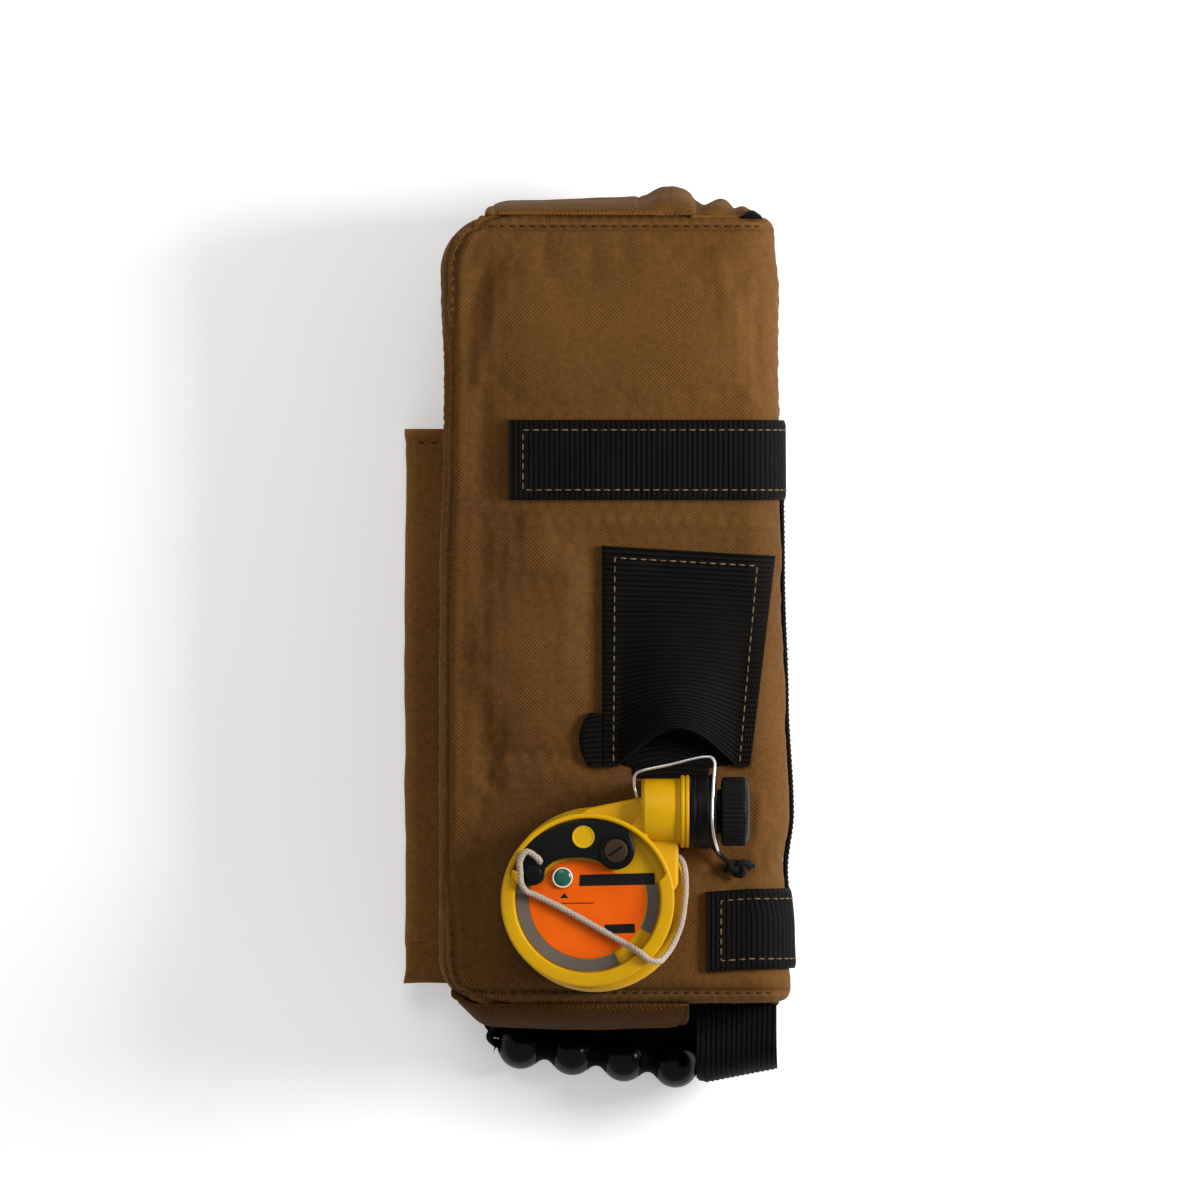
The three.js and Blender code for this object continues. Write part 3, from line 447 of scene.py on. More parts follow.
class Nodes:
    """Short way to write a material's node tree."""

    def __init__(self, name):
        self.material = bpy.data.materials.new(name)
        self.material.use_nodes = True
        self.tree = self.material.node_tree
        self.shader = self.tree.nodes["Principled BSDF"]

    def node(self, kind, inputs=None, **props):
        item = self.tree.nodes.new(kind)
        for key, value in props.items():
            setattr(item, key, value)
        for key, value in (inputs or {}).items():
            self.put(item.inputs[key], value)
        return item

    def put(self, socket, value):
        if hasattr(value, "is_output"):
            self.tree.links.new(value, socket)
        else:
            socket.default_value = value

    def math(self, operation, a, b=0.0):
        return self.node("ShaderNodeMath", {0: a, 1: b}, operation=operation).outputs[0]

    def add(self, a, b):
        return self.math("ADD", a, b)

    def scaled(self, value, gain, base=0.0):
        """A value times a gain, above a base."""
        grown = self.math("MULTIPLY", value, gain)
        return self.add(grown, base) if base else grown

    def blend(self, first, *others):
        """Sum of values with their weights, given as pairs."""
        result = self.scaled(*first)
        for value, weight in others:
            result = self.add(result, self.scaled(value, weight))
        return result

    def ridges(self, place, pitch):
        """Ridges from 0 to 1 along a coordinate, a pitch apart."""
        return self.scaled(self.math("SINE", self.scaled(place, TAU / pitch)), 0.5, 0.5)

    def uv(self):
        """The cut's two ways in millimetres: along the rows, and across them."""
        place = self.node("ShaderNodeUVMap", uv_map="cut").outputs[0]
        split = self.node("ShaderNodeSeparateXYZ", {0: place})
        return split.outputs[0], split.outputs[1]

    def spot(self, scale, detail=3.0, rough=0.55, offset=0.0):
        """Noise over the object, with lumps about 1 / scale metres across."""
        place = self.node("ShaderNodeTexCoord").outputs["Object"]
        if offset:
            shift = {"Vector": place, "Location": (offset, offset, offset)}
            place = self.node("ShaderNodeMapping", shift).outputs[0]
        return self.node(
            "ShaderNodeTexNoise",
            {"Vector": place, "Scale": scale, "Detail": detail, "Roughness": rough},
        ).outputs["Fac"]

    def ramp(self, fac, *stops):
        item = self.node("ShaderNodeValToRGB", {"Fac": fac})
        elements = item.color_ramp.elements
        while len(elements) < len(stops):
            elements.new(0.5)
        for element, (position, color) in zip(elements, stops):
            element.position = position
            element.color = (*color, 1)
        return item.outputs["Color"]

    def mix(self, fac, a, b):
        item = self.node("ShaderNodeMix", data_type="RGBA")
        self.put(item.inputs[0], fac)
        for socket, value in ((item.inputs[6], a), (item.inputs[7], b)):
            self.put(socket, value if hasattr(value, "is_output") else (*value, 1))
        return item.outputs[2]

    def finish(self, color, roughness, height=None, distance=0.0001, strength=1.0, **constants):
        self.put(self.shader.inputs["Base Color"], color if hasattr(color, "is_output") else (*color, 1))
        self.put(self.shader.inputs["Roughness"], roughness)
        if height is not None:
            bump = self.node("ShaderNodeBump", {"Height": height, "Distance": distance, "Strength": strength})
            self.put(self.shader.inputs["Normal"], bump.outputs[0])
        for key, value in constants.items():
            self.shader.inputs[key.replace("_", " ")].default_value = value
        return self.material


def cordura(name, dark, light, twill=1.3, thread=0.62, pile=False):
    """Coated nylon cloth: diagonal twill over crossing threads, with faded and worn patches."""
    n = Nodes(name)
    u, v = n.uv()
    warp = n.scaled(n.spot(500, 2), 0.45)
    up = n.ridges(n.add(n.add(u, v), warp), twill)
    down = n.ridges(n.add(n.math("SUBTRACT", u, v), warp), twill)
    crossing = n.scaled(n.ridges(u, thread), n.ridges(v, thread))
    weave = n.blend((up, 0.4), (down, 0.22), (crossing, 0.38))
    slub = n.spot(620, 3, offset=3.1)
    tone = n.blend((weave, 0.36), (slub, 0.34), (n.spot(8, 3), 0.4))
    worn = n.node("ShaderNodeNewGeometry").outputs["Pointiness"]
    wear = n.ramp(worn, (0.51, (0, 0, 0)), (0.58, (1, 1, 1)))
    faded = tuple(min(1, 1.8 * c) for c in light)
    color = n.mix(n.scaled(wear, 0.25), n.ramp(tone, (0.3, dark), (0.8, light)), faded)
    height = n.add(weave, n.scaled(n.spot(1400, 2), 1.6 if pile else 0.3))
    return n.finish(
        color, n.scaled(slub, 0.2, 0.66), height, 0.00025 if pile else 0.00017, 0.9,
        Sheen_Weight=0.02 if pile else 0.07, Sheen_Roughness=0.35, Sheen_Tint=(0.9, 0.6, 0.28, 1),
        Specular_IOR_Level=0.03 if pile else 0.1,
    )


def webbing_material(name):
    """Black nylon webbing: crossing yarns on the ribs, browner where they are worn, and lighter along the rib
    crests as painted highlight.
    """
    n = Nodes(name)
    u, v = n.uv()
    yarn = n.scaled(n.ridges(u, 0.8), n.ridges(n.add(v, n.scaled(u, 0.5)), 0.9))
    dust = n.spot(60, 4)
    # The ribs' term lightens the rib crests: painted highlight.
    tone = n.blend((yarn, 0.35), (dust, 0.4), (n.ridges(u, RIB_PITCH), 0.3))
    color = n.ramp(tone, (0.3, (0.0005, 0.00045, 0.0004)), (0.85, (0.0105, 0.0090, 0.0075)))
    height = n.add(yarn, n.scaled(n.spot(1500, 2), 0.4))
    return n.finish(
        color, n.scaled(dust, 0.25, 0.48), height, 0.0002, 0.9,
        Sheen_Weight=0.006, Sheen_Roughness=0.4, Specular_IOR_Level=0.05,
    )


def thread_material(name, dark, light):
    """Twisted sewing thread."""
    n = Nodes(name)
    color = n.ramp(n.spot(700, 3), (0.3, dark), (0.7, light))
    return n.finish(color, 0.75, n.spot(1800, 2), 0.00012, 0.7, Specular_IOR_Level=0.15)


def braid_material(name, dark, light, pitch):
    """Braided cord: two crossing spirals of strands."""
    n = Nodes(name)
    u, v = n.uv()
    spirals = [n.ridges(n.math(way, u, v), pitch) for way in ("ADD", "SUBTRACT")]
    braid = n.math("MAXIMUM", *spirals)
    color = n.ramp(n.blend((braid, 0.6), (n.spot(220, 3), 0.4)), (0.3, dark), (0.75, light))
    return n.finish(color, 0.8, braid, 0.0002, 0.8, Specular_IOR_Level=0.15)


def plastic(name, dark, light, rough, coat=0.0, grain=2600, depth=0.00002, specular=0.3):
    """Moulded plastic: fine grain, slight tone changes and smears in the gloss."""
    n = Nodes(name)
    color = n.ramp(n.spot(45, 4), (0.35, dark), (0.65, light))
    gloss = n.scaled(n.spot(90, 3, offset=1.7), 0.22, rough - 0.11)
    return n.finish(
        color, gloss, n.spot(grain, 2), depth, 0.6,
        Coat_Weight=coat, Coat_Roughness=0.12, Specular_IOR_Level=specular,
    )


def steel(name):
    """Drawn wire, with fine scratches and small changes in its gloss."""
    n = Nodes(name)
    drawn = n.spot(120, 3)
    color = n.ramp(drawn, (0.3, (0.46, 0.46, 0.45)), (0.7, (0.68, 0.68, 0.66)))
    return n.finish(color, n.scaled(drawn, 0.14, 0.18), n.spot(1500, 2), 0.000004, 0.4, Metallic=1.0)


BROWN = cordura("cover_cloth", (0.044, 0.0172, 0.0034), (0.163, 0.0700, 0.0146))
# Lighter copy of the cover cloth for the pocket: painted light that makes up for the shade the cover casts on
# it.
POCKET_BROWN_PAINTED_LIGHT = cordura("pocket_cloth", (0.078, 0.0315, 0.0066), (0.290, 0.1260, 0.0290))
# Darker copy of the cover cloth for the downward-facing lower flap: painted shade, with a rougher pile bump.
BROWN_PILE_PAINTED_SHADE = cordura(
    "pile_cloth_painted_shade", (0.030, 0.0120, 0.0024), (0.092, 0.0390, 0.0080), twill=1.5, thread=0.9, pile=True,
)
DARK_CLOTH = cordura("float_cloth", (0.02, 0.016, 0.011), (0.05, 0.042, 0.03), twill=1.2, thread=0.6)
WEBBING = webbing_material("webbing")
TAN_THREAD = thread_material("tan_thread", (0.075, 0.048, 0.02), (0.21, 0.15, 0.075))
BROWN_THREAD = thread_material("brown_thread", (0.017, 0.008, 0.003), (0.062, 0.031, 0.011))
BLACK_THREAD = braid_material("black_thread", (0.002, 0.002, 0.002), (0.009, 0.009, 0.0085), 1.0)
WHITE_CORD = braid_material("white_cord", (0.265, 0.200, 0.155), (0.42, 0.34, 0.275), 1.3)
YELLOW = plastic(
    "inflator_yellow", (0.475, 0.246, 0.0012), (0.56, 0.305, 0.002), 0.36, coat=0.03, specular=0.12,
)
WINDOW_YELLOW = plastic(
    "window_yellow", (0.47, 0.265, 0.001), (0.54, 0.315, 0.002), 0.3, coat=0.06, specular=0.12,
)
ORANGE = plastic("label_orange", (0.60, 0.074, 0.001), (0.70, 0.103, 0.002), 0.5, specular=0.08)
GREY = plastic("label_grey", (0.090, 0.076, 0.064), (0.120, 0.102, 0.087), 0.5, specular=0.08)
LABEL_BLACK = plastic("label_black", (0.004, 0.004, 0.004), (0.008, 0.008, 0.008), 0.5, specular=0.1)
LEVER_BLACK = plastic(
    "lever_black", (0.002, 0.0024, 0.0023), (0.0045, 0.0052, 0.005), 0.34, coat=0.05, specular=0.09,
)
CAP_BROWN = plastic("pivot_cap", (0.028, 0.016, 0.007), (0.054, 0.032, 0.014), 0.55, specular=0.12)
GREEN = plastic("indicator_green", (0.002, 0.04, 0.024), (0.005, 0.095, 0.058), 0.22, coat=0.4)
# Pale rim round the green lens: its pale colour is painted highlight.
PALE_PAINTED_HIGHLIGHT = plastic("indicator_rim_painted_highlight", (0.55, 0.52, 0.44), (0.70, 0.66, 0.56), 0.4)
BLACK_PLASTIC = plastic(
    "black_plastic", (0.0024, 0.0024, 0.0023), (0.0056, 0.0053, 0.0049), 0.42, depth=0.00004, specular=0.09,
)
BEAD_BLACK = plastic(
    "bead_black", (0.001, 0.001, 0.001), (0.002, 0.002, 0.002), 0.24, coat=0.1, grain=500,
    depth=0.000006, specular=0.14,
)
STEEL = steel("clip_steel")


# Cover: one padded skin, cut along its slanting seam into the front and the back

EDGE_STEPS = 16
FACE_STEPS = 108
BACK_STEPS = 36
RIGHT_STEPS = 18
LEFT_STEPS = 22
BODY_ROWS = 170
END_ROWS = 24
CAP_ROWS = 12
COVER_CLOTH = 1.4


def section_points(s):
    """Points round a section, from the back's left edge round the right side and over the face."""
    points = []

    def arc(x, z, radius, start):
        for angle in np.radians(np.linspace(start, start + 90, EDGE_STEPS + 1)):
            points.append((x + radius * math.cos(angle), s.y, z + radius * math.sin(angle)))

    def line(count, place):
        for t in np.linspace(0, 1, count + 1)[1:-1]:
            points.append(place(t))

    low = s.left + LEFT_EDGE_RADIUS
    high = s.right - RIGHT_EDGE_RADIUS
    arc(low, s.bottom + LEFT_EDGE_RADIUS, LEFT_EDGE_RADIUS, 180)
    line(BACK_STEPS, lambda t: (low + (high - low) * t, s.y, s.bottom))
    arc(high, s.bottom + RIGHT_EDGE_RADIUS, RIGHT_EDGE_RADIUS, 270)
    z0, z1 = s.bottom + RIGHT_EDGE_RADIUS, s.top - RIGHT_EDGE_RADIUS
    line(RIGHT_STEPS, lambda t: (s.right, s.y, z0 + (z1 - z0) * t))
    arc(high, s.top - RIGHT_EDGE_RADIUS, RIGHT_EDGE_RADIUS, 0)
    line(FACE_STEPS, lambda t: (high + (low - high) * t, s.y, s.face_height(high + (low - high) * t)))
    arc(low, s.top - LEFT_EDGE_RADIUS, LEFT_EDGE_RADIUS, 90)
    z0, z1 = s.bottom + LEFT_EDGE_RADIUS, s.top - LEFT_EDGE_RADIUS
    line(LEFT_STEPS, lambda t: (s.left, s.y, z1 + (z0 - z1) * t))
    return points


# The seam's plane: from the face's left border to the back's right border
SEAM_FACE_BORDER = 2.2
SEAM_BACK_BORDER = 8
SEAM_HEIGHT_IN_EDGE = 1.6
SEAM_START = np.array([COVER_LEFT_X + SEAM_FACE_BORDER, 0, FACE_Z - SEAM_HEIGHT_IN_EDGE])
SEAM_END = np.array([COVER_RIGHT_X - SEAM_BACK_BORDER, 0, BACK_Z + SEAM_HEIGHT_IN_EDGE])
SEAM_ALONG = (SEAM_END - SEAM_START) / np.linalg.norm(SEAM_END - SEAM_START)
SEAM_NORMAL = np.cross(SEAM_ALONG, (0, 1, 0))
SEAM_NORMAL = SEAM_NORMAL * np.sign(SEAM_NORMAL[2])

STITCH_PITCH = 3.2

# Where sewn pieces hold the face flat: middle x, middle y, half width, half length
HELD_PATCHES = [
    (14, 56.8, 45, 13.5),
    (26, -6, 27, 36),
    (-3, -82, 30, 29),
    (28, -54, 16, 13),
    (46, -93, 13, 14),
]


def free_share(x, y):
    """How free the face's cloth is at a point: 0 where a sewn piece holds it, 1 well away."""
    share = 1.0
    for cx, cy, half_x, half_y in HELD_PATCHES:
        shade_sheet = max(abs(x - cx) - half_x, abs(y - cy) - half_y)
        share = min(share, smooth(shade_sheet, 0, 9))
    return share


def hem(d):
    """Height of a sewn hem: a lip at the edge, a groove at its stitches, then the padding's swell."""
    lip = 0.85 * smooth(d, -0.5, 0.5) * (1 - smooth(d, 2.7, 3.5))
    return lip - 0.6 * bump_at(d, 3.8, 0.7) + 0.5 * bump_at(d, 7.0, 2.6)


def looseness(p, normal):
    """How freely the padded skin may leave its plain shape at a point, from 0 to 1."""
    x, y, z = p
    if normal[2] > 0.3:
        from_ends = smooth(min(COVER_TOP_Y - y, y - COVER_LOWER_Y), 3, 16)
        from_sides = smooth(x - COVER_LEFT_X, 5, 17) * smooth(COVER_RIGHT_X - x, -4, 14)
        return free_share(x, y) * from_ends * from_sides
    if normal[2] < -0.4:
        return 0.08
    if abs(normal[1]) > 0.5:
        return 0.2 if abs(z - 37) < 20 else 0.6
    if normal[0] > 0.5:
        return 0.1 if y < 62 and z < 50 else 0.35
    return 0.3


# Folds of the face: middle x, middle y, direction in degrees, length, width, height, all in mm
FACE_FOLDS = [
    (-41, 108, 62, 24, 4.5, -1.1),
    (-37, 94, 70, 34, 6, 0.9),
    (-44, 76, 84, 26, 4, -0.7),
    (40, 108, 100, 30, 7, 1.0),
    (50, 92, 92, 40, 2.6, -0.9),
    (-43, -20, 90, 60, 5, 0.7),
    (-37, -48, 78, 36, 5, -1.2),
    (-33, -66, 60, 24, 4, -0.8),
    (-14, -32, 28, 30, 5, -1.0),
    (-20, -24, 30, 34, 5, 0.7),
    (50, -18, 88, 46, 2.2, -1.0),
    (50, -58, 84, 30, 2.4, 0.9),
    (48, -72, 20, 14, 2.5, -0.8),
    (-10, 12, 88, 40, 8, 0.6),
    (10, 41, 0, 50, 4, 0.6),
    (-38, -103, 20, 26, 3.5, -0.8),
    (4, -113, 2, 50, 2.6, 0.4),
]


def fold_height(x, y):
    rise = 0.0
    for cx, cy, turn, length, width, height in FACE_FOLDS:
        c, s = math.cos(math.radians(turn)), math.sin(math.radians(turn))
        along = (x - cx) * c + (y - cy) * s
        across = -(x - cx) * s + (y - cy) * c + 0.0035 * along * along
        rise += height * bump_at(along, 0, length / 2) * bump_at(across, 0, width / 1.6)
    return rise


def tucked_border(y):
    """How far the left border's stitches are drawn in under the face, away from the corners."""
    return 1.9 * smooth(y, -98, -72) * (1 - smooth(y, 88, 112))


def cover_relief(p, normal, left):
    """How far the padded skin stands out from its plain shape; left is the section's left edge."""
    x, y, z = p
    face = max(normal[2], 0.0)
    side = 1 - abs(normal[2])
    free = looseness(p, normal)
    rise = free * (0.9 * fuzz(x, y, z, 48, 1.3) + 0.6 * fuzz(x, y, z, 22, 4.1) + 0.14 * fuzz(x, y, z, 8, 6.1))
    rise += 1.25 * face * free * fold_height(x, y)
    rise += free * side * 0.5 * math.sin(0.2 * z + 0.12 * y + 2.4 * fuzz(x, y, z, 40, 2.2))
    # Seam: the back's bound edge, the stitched groove and the front's lip, puckered by the stitches
    from_seam = float(np.dot(np.array(p) - SEAM_START, SEAM_NORMAL))
    pucker = 1 + 0.3 * math.sin(TAU * (y + 0.7 * x) / STITCH_PITCH)
    faces_up = normal[2] > 0.2 and abs(normal[1]) < 0.5
    from_edge = 1.6 * (x - left - SEAM_FACE_BORDER + tucked_border(y)) if faces_up else from_seam
    rise += hem(from_edge) * pucker * 0.9
    if normal[0] > 0.5:
        rise += 3.6 * bump_at(from_seam, 0.8, 1.7) * smooth(y, -107, -101) * (1 - smooth(y, -76, -71))
    rise += 0.45 * bump_at(from_seam, -1.6, 0.9) - 0.5 * bump_at(from_seam, -0.2, 0.5)
    # Hems across the face's two ends
    if normal[2] > 0.05 and from_seam > 1:
        for end, sign in ((COVER_TOP_Y, -1), (COVER_LOWER_Y, 1)):
            ripple = 1 + 0.1 * math.sin(TAU * x / STITCH_PITCH + 1.2 * fuzz(x, 0, 0, 12, 2.0))
            rise += hem(sign * (y - end)) * ripple * smooth(normal[2], 0.05, 0.3)
    return rise


SWELL_LIMIT = 3.6
SWELL_VOXEL = 5
SWELL_FRAMES = 20
SWELL_NEIGHBOURS = 6
SWELL_CLOTH = {
    "quality": 6,
    "mass": 0.012,
    "tension_stiffness": 8,
    "compression_stiffness": 8,
    "shear_stiffness": 4,
    "bending_stiffness": 0.02,
    "shrink_min": -0.02,
    "use_pressure": True,
    "uniform_pressure_force": 10,
    "vertex_group_mass": "held",
}


def mesh_values(mesh, key):
    """Each vertex's co or normal, as rows of three."""
    values = np.empty(len(mesh.vertices) * 3)
    mesh.vertices.foreach_get(key, values)
    return values.reshape(-1, 3)


def coarse_pad(skin_points, index):
    """Even, coarse and closed copy of the skin, held where its cloth is sewn down."""
    faces = [tuple(f) for f in around_faces(index)] + [tuple(index[0]), tuple(index[-1])]
    pad = new_object("swell_pad", skin_points, faces, BROWN)
    outward(pad)
    remesh = pad.modifiers.new("even", "REMESH")
    remesh.mode = "VOXEL"
    remesh.voxel_size = SWELL_VOXEL * MM
    apply_modifiers(pad)
    held = pad.vertex_groups.new(name="held")
    rows = zip(mesh_values(pad.data, "co") / MM - SHIFT, mesh_values(pad.data, "normal"))
    for i, (point, normal) in enumerate(rows):
        held.add([i], 1 - min(looseness(point, normal), 1.0), "REPLACE")
    return pad


def blown_up(pad):
    """Moves of the pad's points under the float's pressure, from a cloth simulation."""
    cloth = pad.modifiers.new("cloth", "CLOTH")
    for key, value in SWELL_CLOTH.items():
        setattr(cloth.settings, key, value)
    cloth.settings.effector_weights.gravity = 0
    cloth.collision_settings.use_collision = False
    cloth.point_cache.frame_start = 1
    cloth.point_cache.frame_end = SWELL_FRAMES
    for step in range(1, SWELL_FRAMES + 1):
        bpy.context.scene.frame_set(step)
    evaluated = pad.evaluated_get(bpy.context.evaluated_depsgraph_get())
    moves = (mesh_values(evaluated.data, "co") - mesh_values(pad.data, "co")) / MM
    bpy.context.scene.frame_set(1)
    return moves


def swell(points, index):
    """Moves of the skin's points, carried over from the coarse pad and kept under a limit."""
    flat = points.reshape(-1, 3)
    result = np.zeros_like(flat)
    pad = coarse_pad(flat, index)
    rest = mesh_values(pad.data, "co") / MM - SHIFT
    moves = blown_up(pad)
    bpy.data.objects.remove(pad)
    tree = kdtree.KDTree(len(rest))
    for i, point in enumerate(rest):
        tree.insert(Vector(point), i)
    tree.balance()
    for k, point in enumerate(flat):
        near = tree.find_n(Vector(point), SWELL_NEIGHBOURS)
        weights = np.array([1 / (distance + 1.0) ** 2 for _, _, distance in near])
        result[k] = sum(w * moves[i] for w, (_, i, _) in zip(weights, near)) / weights.sum()
    length = np.maximum(np.linalg.norm(result, axis=1, keepdims=True), 1e-6)
    return result * SWELL_LIMIT * np.tanh(length / SWELL_LIMIT) / length


def cover_rows():
    """Sections of the cover from end to end, with their y and their height's share in the flat ends."""
    ends = END_EDGE_RADIUS * (1 - np.cos(np.radians(np.linspace(0, 90, END_ROWS))))
    lower = COVER_LOWER_Y + ends
    upper = COVER_TOP_Y - ends[::-1]
    middle = np.linspace(lower[-1], upper[0], BODY_ROWS)[1:-1]
    cap = np.linspace(0.03, 1, CAP_ROWS)[:-1]
    rows = [(COVER_LOWER_Y, share) for share in cap]
    rows += [(y, 1.0) for y in np.concatenate([lower, middle, upper])]
    rows += [(COVER_TOP_Y, share) for share in cap[::-1]]
    points = np.array([section_points(Section(y)) for y, _ in rows])
    scales = np.array([share for _, share in rows])
    middle_z = (BACK_Z + FACE_Z) / 2
    points[:, :, 2] = middle_z + (points[:, :, 2] - middle_z) * scales[:, None]
    return points, scales


def cover_normals(points, scales):
    """Normals that point out of the cover; its flat ends face along Y."""
    m = len(points)
    wrapped = np.concatenate([points[:, -1:], points, points[:, :1]], axis=1)
    normals = grid_normals(wrapped)[:, 1:-1]
    if normals[m // 2, EDGE_STEPS + BACK_STEPS // 2][2] > 0:
        normals = -normals
    for i, share in enumerate(scales):
        if share < 1:
            normals[i] = (0, -1 if i < m // 2 else 1, 0)
    return normals


def cover_cut(points):
    """Place in the cut: round the middle section, and along the face and on down the flat ends."""
    m, n = points.shape[:2]
    around = np.linalg.norm(np.diff(points[m // 2], axis=0), axis=1)
    down = points[:, FACE_STEPS // 2 + 3 * EDGE_STEPS + BACK_STEPS + RIGHT_STEPS]
    along = np.linalg.norm(np.diff(down, axis=0), axis=1)
    u = np.broadcast_to(np.concatenate([[0], np.cumsum(around)]), (m, n))
    v = np.broadcast_to(np.concatenate([[0], np.cumsum(along)])[:, None], (m, n))
    return np.stack([u, v], axis=2).reshape(-1, 2)


def padded_skin():
    """The whole cover as one skin, swollen and with its seams, hems and folds."""
    points, scales = cover_rows()
    normals = cover_normals(points, scales)
    m, n = points.shape[:2]
    index = np.arange(m * n).reshape(m, n)
    moved = points + swell(points, index).reshape(m, n, 3)
    for i in range(m):
        left = points[i, :, 0].min()
        for j in range(n):
            moved[i, j] += normals[i, j] * cover_relief(points[i, j], normals[i, j], left)
    skin = new_object("cover_skin", moved.reshape(-1, 3), around_faces(index), BROWN, cover_cut(points))
    outward(skin)
    return skin


def build_cover():
    """Cuts the skin at its seam's plane into the front and the back, and gives both a wall."""
    skin = padded_skin()
    for node, keep_front in (("cover_front", True), ("cover_back", False)):
        bm = bmesh.new()
        bm.from_mesh(skin.data)
        bmesh.ops.bisect_plane(
            bm,
            geom=list(bm.verts) + list(bm.edges) + list(bm.faces),
            plane_co=Vector((SEAM_START + SHIFT) * MM),
            plane_no=Vector(SEAM_NORMAL),
            clear_inner=keep_front,
            clear_outer=not keep_front,
        )
        mesh = bpy.data.meshes.new(node + "_cloth")
        bm.to_mesh(mesh)
        bm.free()
        piece = bpy.data.objects.new(node + "_cloth", mesh)
        bpy.context.scene.collection.objects.link(piece)
        mesh.materials.append(BROWN)
        wall = piece.modifiers.new("wall", "SOLIDIFY")
        wall.thickness = COVER_CLOTH * MM
        wall.offset = -1
        apply_modifiers(piece)
        show(piece, "cover_cloth", node)
    bpy.data.objects.remove(skin)


def apply_modifiers(obj):
    bpy.context.view_layer.update()
    evaluated = obj.evaluated_get(bpy.context.evaluated_depsgraph_get())
    mesh = bpy.data.meshes.new_from_object(evaluated)
    obj.modifiers.clear()
    obj.data = mesh


def on_face(x, y, lift=0.0):
    """Point on the face's cloth, lifted off it."""
    return Vector((x, y, face_height(x, y) + lift))


# Stitch rows of the face's two hems: y, its side, first and last x
END_HEM_ROWS = [
    (COVER_TOP_Y - 3.0, 1, -36, 51),
    (COVER_LOWER_Y + 3.0, -1, -39, 55),
]
LEFT_BORDER = 3.8


def build_hem_stitches():
    """Stitch rows of the cover: across both ends of the face and along the left border."""
    rows = []
    for y, side, low_x, high_x in END_HEM_ROWS:
        path = [on_face(x, y, 0.62) for x in np.linspace(low_x, high_x, 60)]
        lean = Vector((0, 0.55 * side, 1))
        rows.append(stitch_row("hem_row", path, lean, BROWN_THREAD, length=2.1, radius=0.34))
    path = []
    leans = []
    border_drop = round_inset(LEFT_BORDER, LEFT_EDGE_RADIUS)
    for y in np.linspace(COVER_LOWER_Y + 5, COVER_TOP_Y - 5, 160):
        s = Section(y)
        tuck = tucked_border(y)
        inset = LEFT_BORDER - tuck
        x = s.left + inset
        lift = 0.6 - (round_inset(inset, LEFT_EDGE_RADIUS) - border_drop)
        path.append(Vector((x - 0.2 * tuck, y, s.face_height(x) + lift)))
        leans.append(Vector((-0.45 - 0.25 * tuck, 0, 0.9)))
    rows.append(stitch_row("hem_row", path, leans, BROWN_THREAD, radius=0.34))
    show(join("hem_stitches", rows), "cover_cloth")


# Webbing

WEB_STITCH = {"material": TAN_THREAD, "pitch": 3.1, "length": 2.2, "radius": 0.25}
WOVEN_EDGE = 1.6
UP = Vector((0, 0, 1))


def rib_relief(along, across):
    """Ribs across the webbing, fading out at its woven edges."""
    width = across[:, -1:].max()
    shade = np.clip(np.minimum(across, width - across) / WOVEN_EDGE, 0, 1)
    wave = 0.5 + 0.5 * np.sin(TAU * along / RIB_PITCH)
    yarns = 0.5 + 0.5 * np.sin(TAU * across / 1.25 + np.pi * np.floor(along / RIB_PITCH))
    return RIB_HEIGHT * shade * (wave * (0.65 + 0.35 * yarns)) - 0.25 * (1 - shade) ** 2


def in_layout(box):
    """Low and high corner of a CAD node, in layout millimetres."""
    return [np.array(corner) / MM - SHIFT for corner in box]


def over_right_edge(x, y, run, lift):
    """Point on the face, round the right edge or down the right wall; run starts at the round."""
    s = Section(y)
    edge_x = s.right - RIGHT_EDGE_RADIUS
    quarter = math.pi / 2 * RIGHT_EDGE_RADIUS
    if run <= 0:
        return (x, y, s.face_height(x) + lift)
    if run < quarter:
        angle = run / RIGHT_EDGE_RADIUS
        radius = RIGHT_EDGE_RADIUS + lift
        drop = radius * math.cos(angle) - RIGHT_EDGE_RADIUS
        return (edge_x + radius * math.sin(angle), y, s.top + drop)
    return (s.right + lift, y, s.top - RIGHT_EDGE_RADIUS - (run - quarter))


def wrapped_points(start_x, middle_y, slope, lift, along_steps, across_steps):
    """Grid on webbing that lies on the face and wraps over the right edge."""
    share = (middle_y - COVER_LOWER_Y) / COVER_LENGTH
    edge_x = COVER_RIGHT_X + COVER_WIDTH * eased(SIDE_LINES, 2, share) - RIGHT_EDGE_RADIUS
    flat = edge_x - start_x
    total = flat + math.pi / 2 * RIGHT_EDGE_RADIUS + 1.5
    grid = []
    for run in np.linspace(0, total, along_steps):
        x = start_x + min(run, flat)
        rows = np.linspace(-WEB_WIDTH / 2, WEB_WIDTH / 2, across_steps)
        grid.append([
            over_right_edge(x, middle_y + across + min(run, flat) * slope, run - flat, lift)
            for across in rows
        ])
    return np.array(grid)


def three_sided_path(grid, rows, columns):
    """Path round a grid, open at its far end, some rows and columns in from its edges."""
    m, n = grid.shape[:2]
    far = n - 1 - columns
    path = [grid[i, columns] for i in range(m - 1, rows, -1)]
    path += [grid[rows, j] for j in range(columns, far)]
    return path + [grid[i, far] for i in range(rows, m - 1)]


def path_normals(path):
    """Normals that point out of the face and round the right edge."""
    normals = []
    for point in path:
        s = Section(point[1])
        over = (point[0] - (s.right - RIGHT_EDGE_RADIUS)) / RIGHT_EDGE_RADIUS
        angle = math.asin(min(max(over, 0), 1))
        normals.append(Vector((math.sin(angle), 0, math.cos(angle))))
    return normals


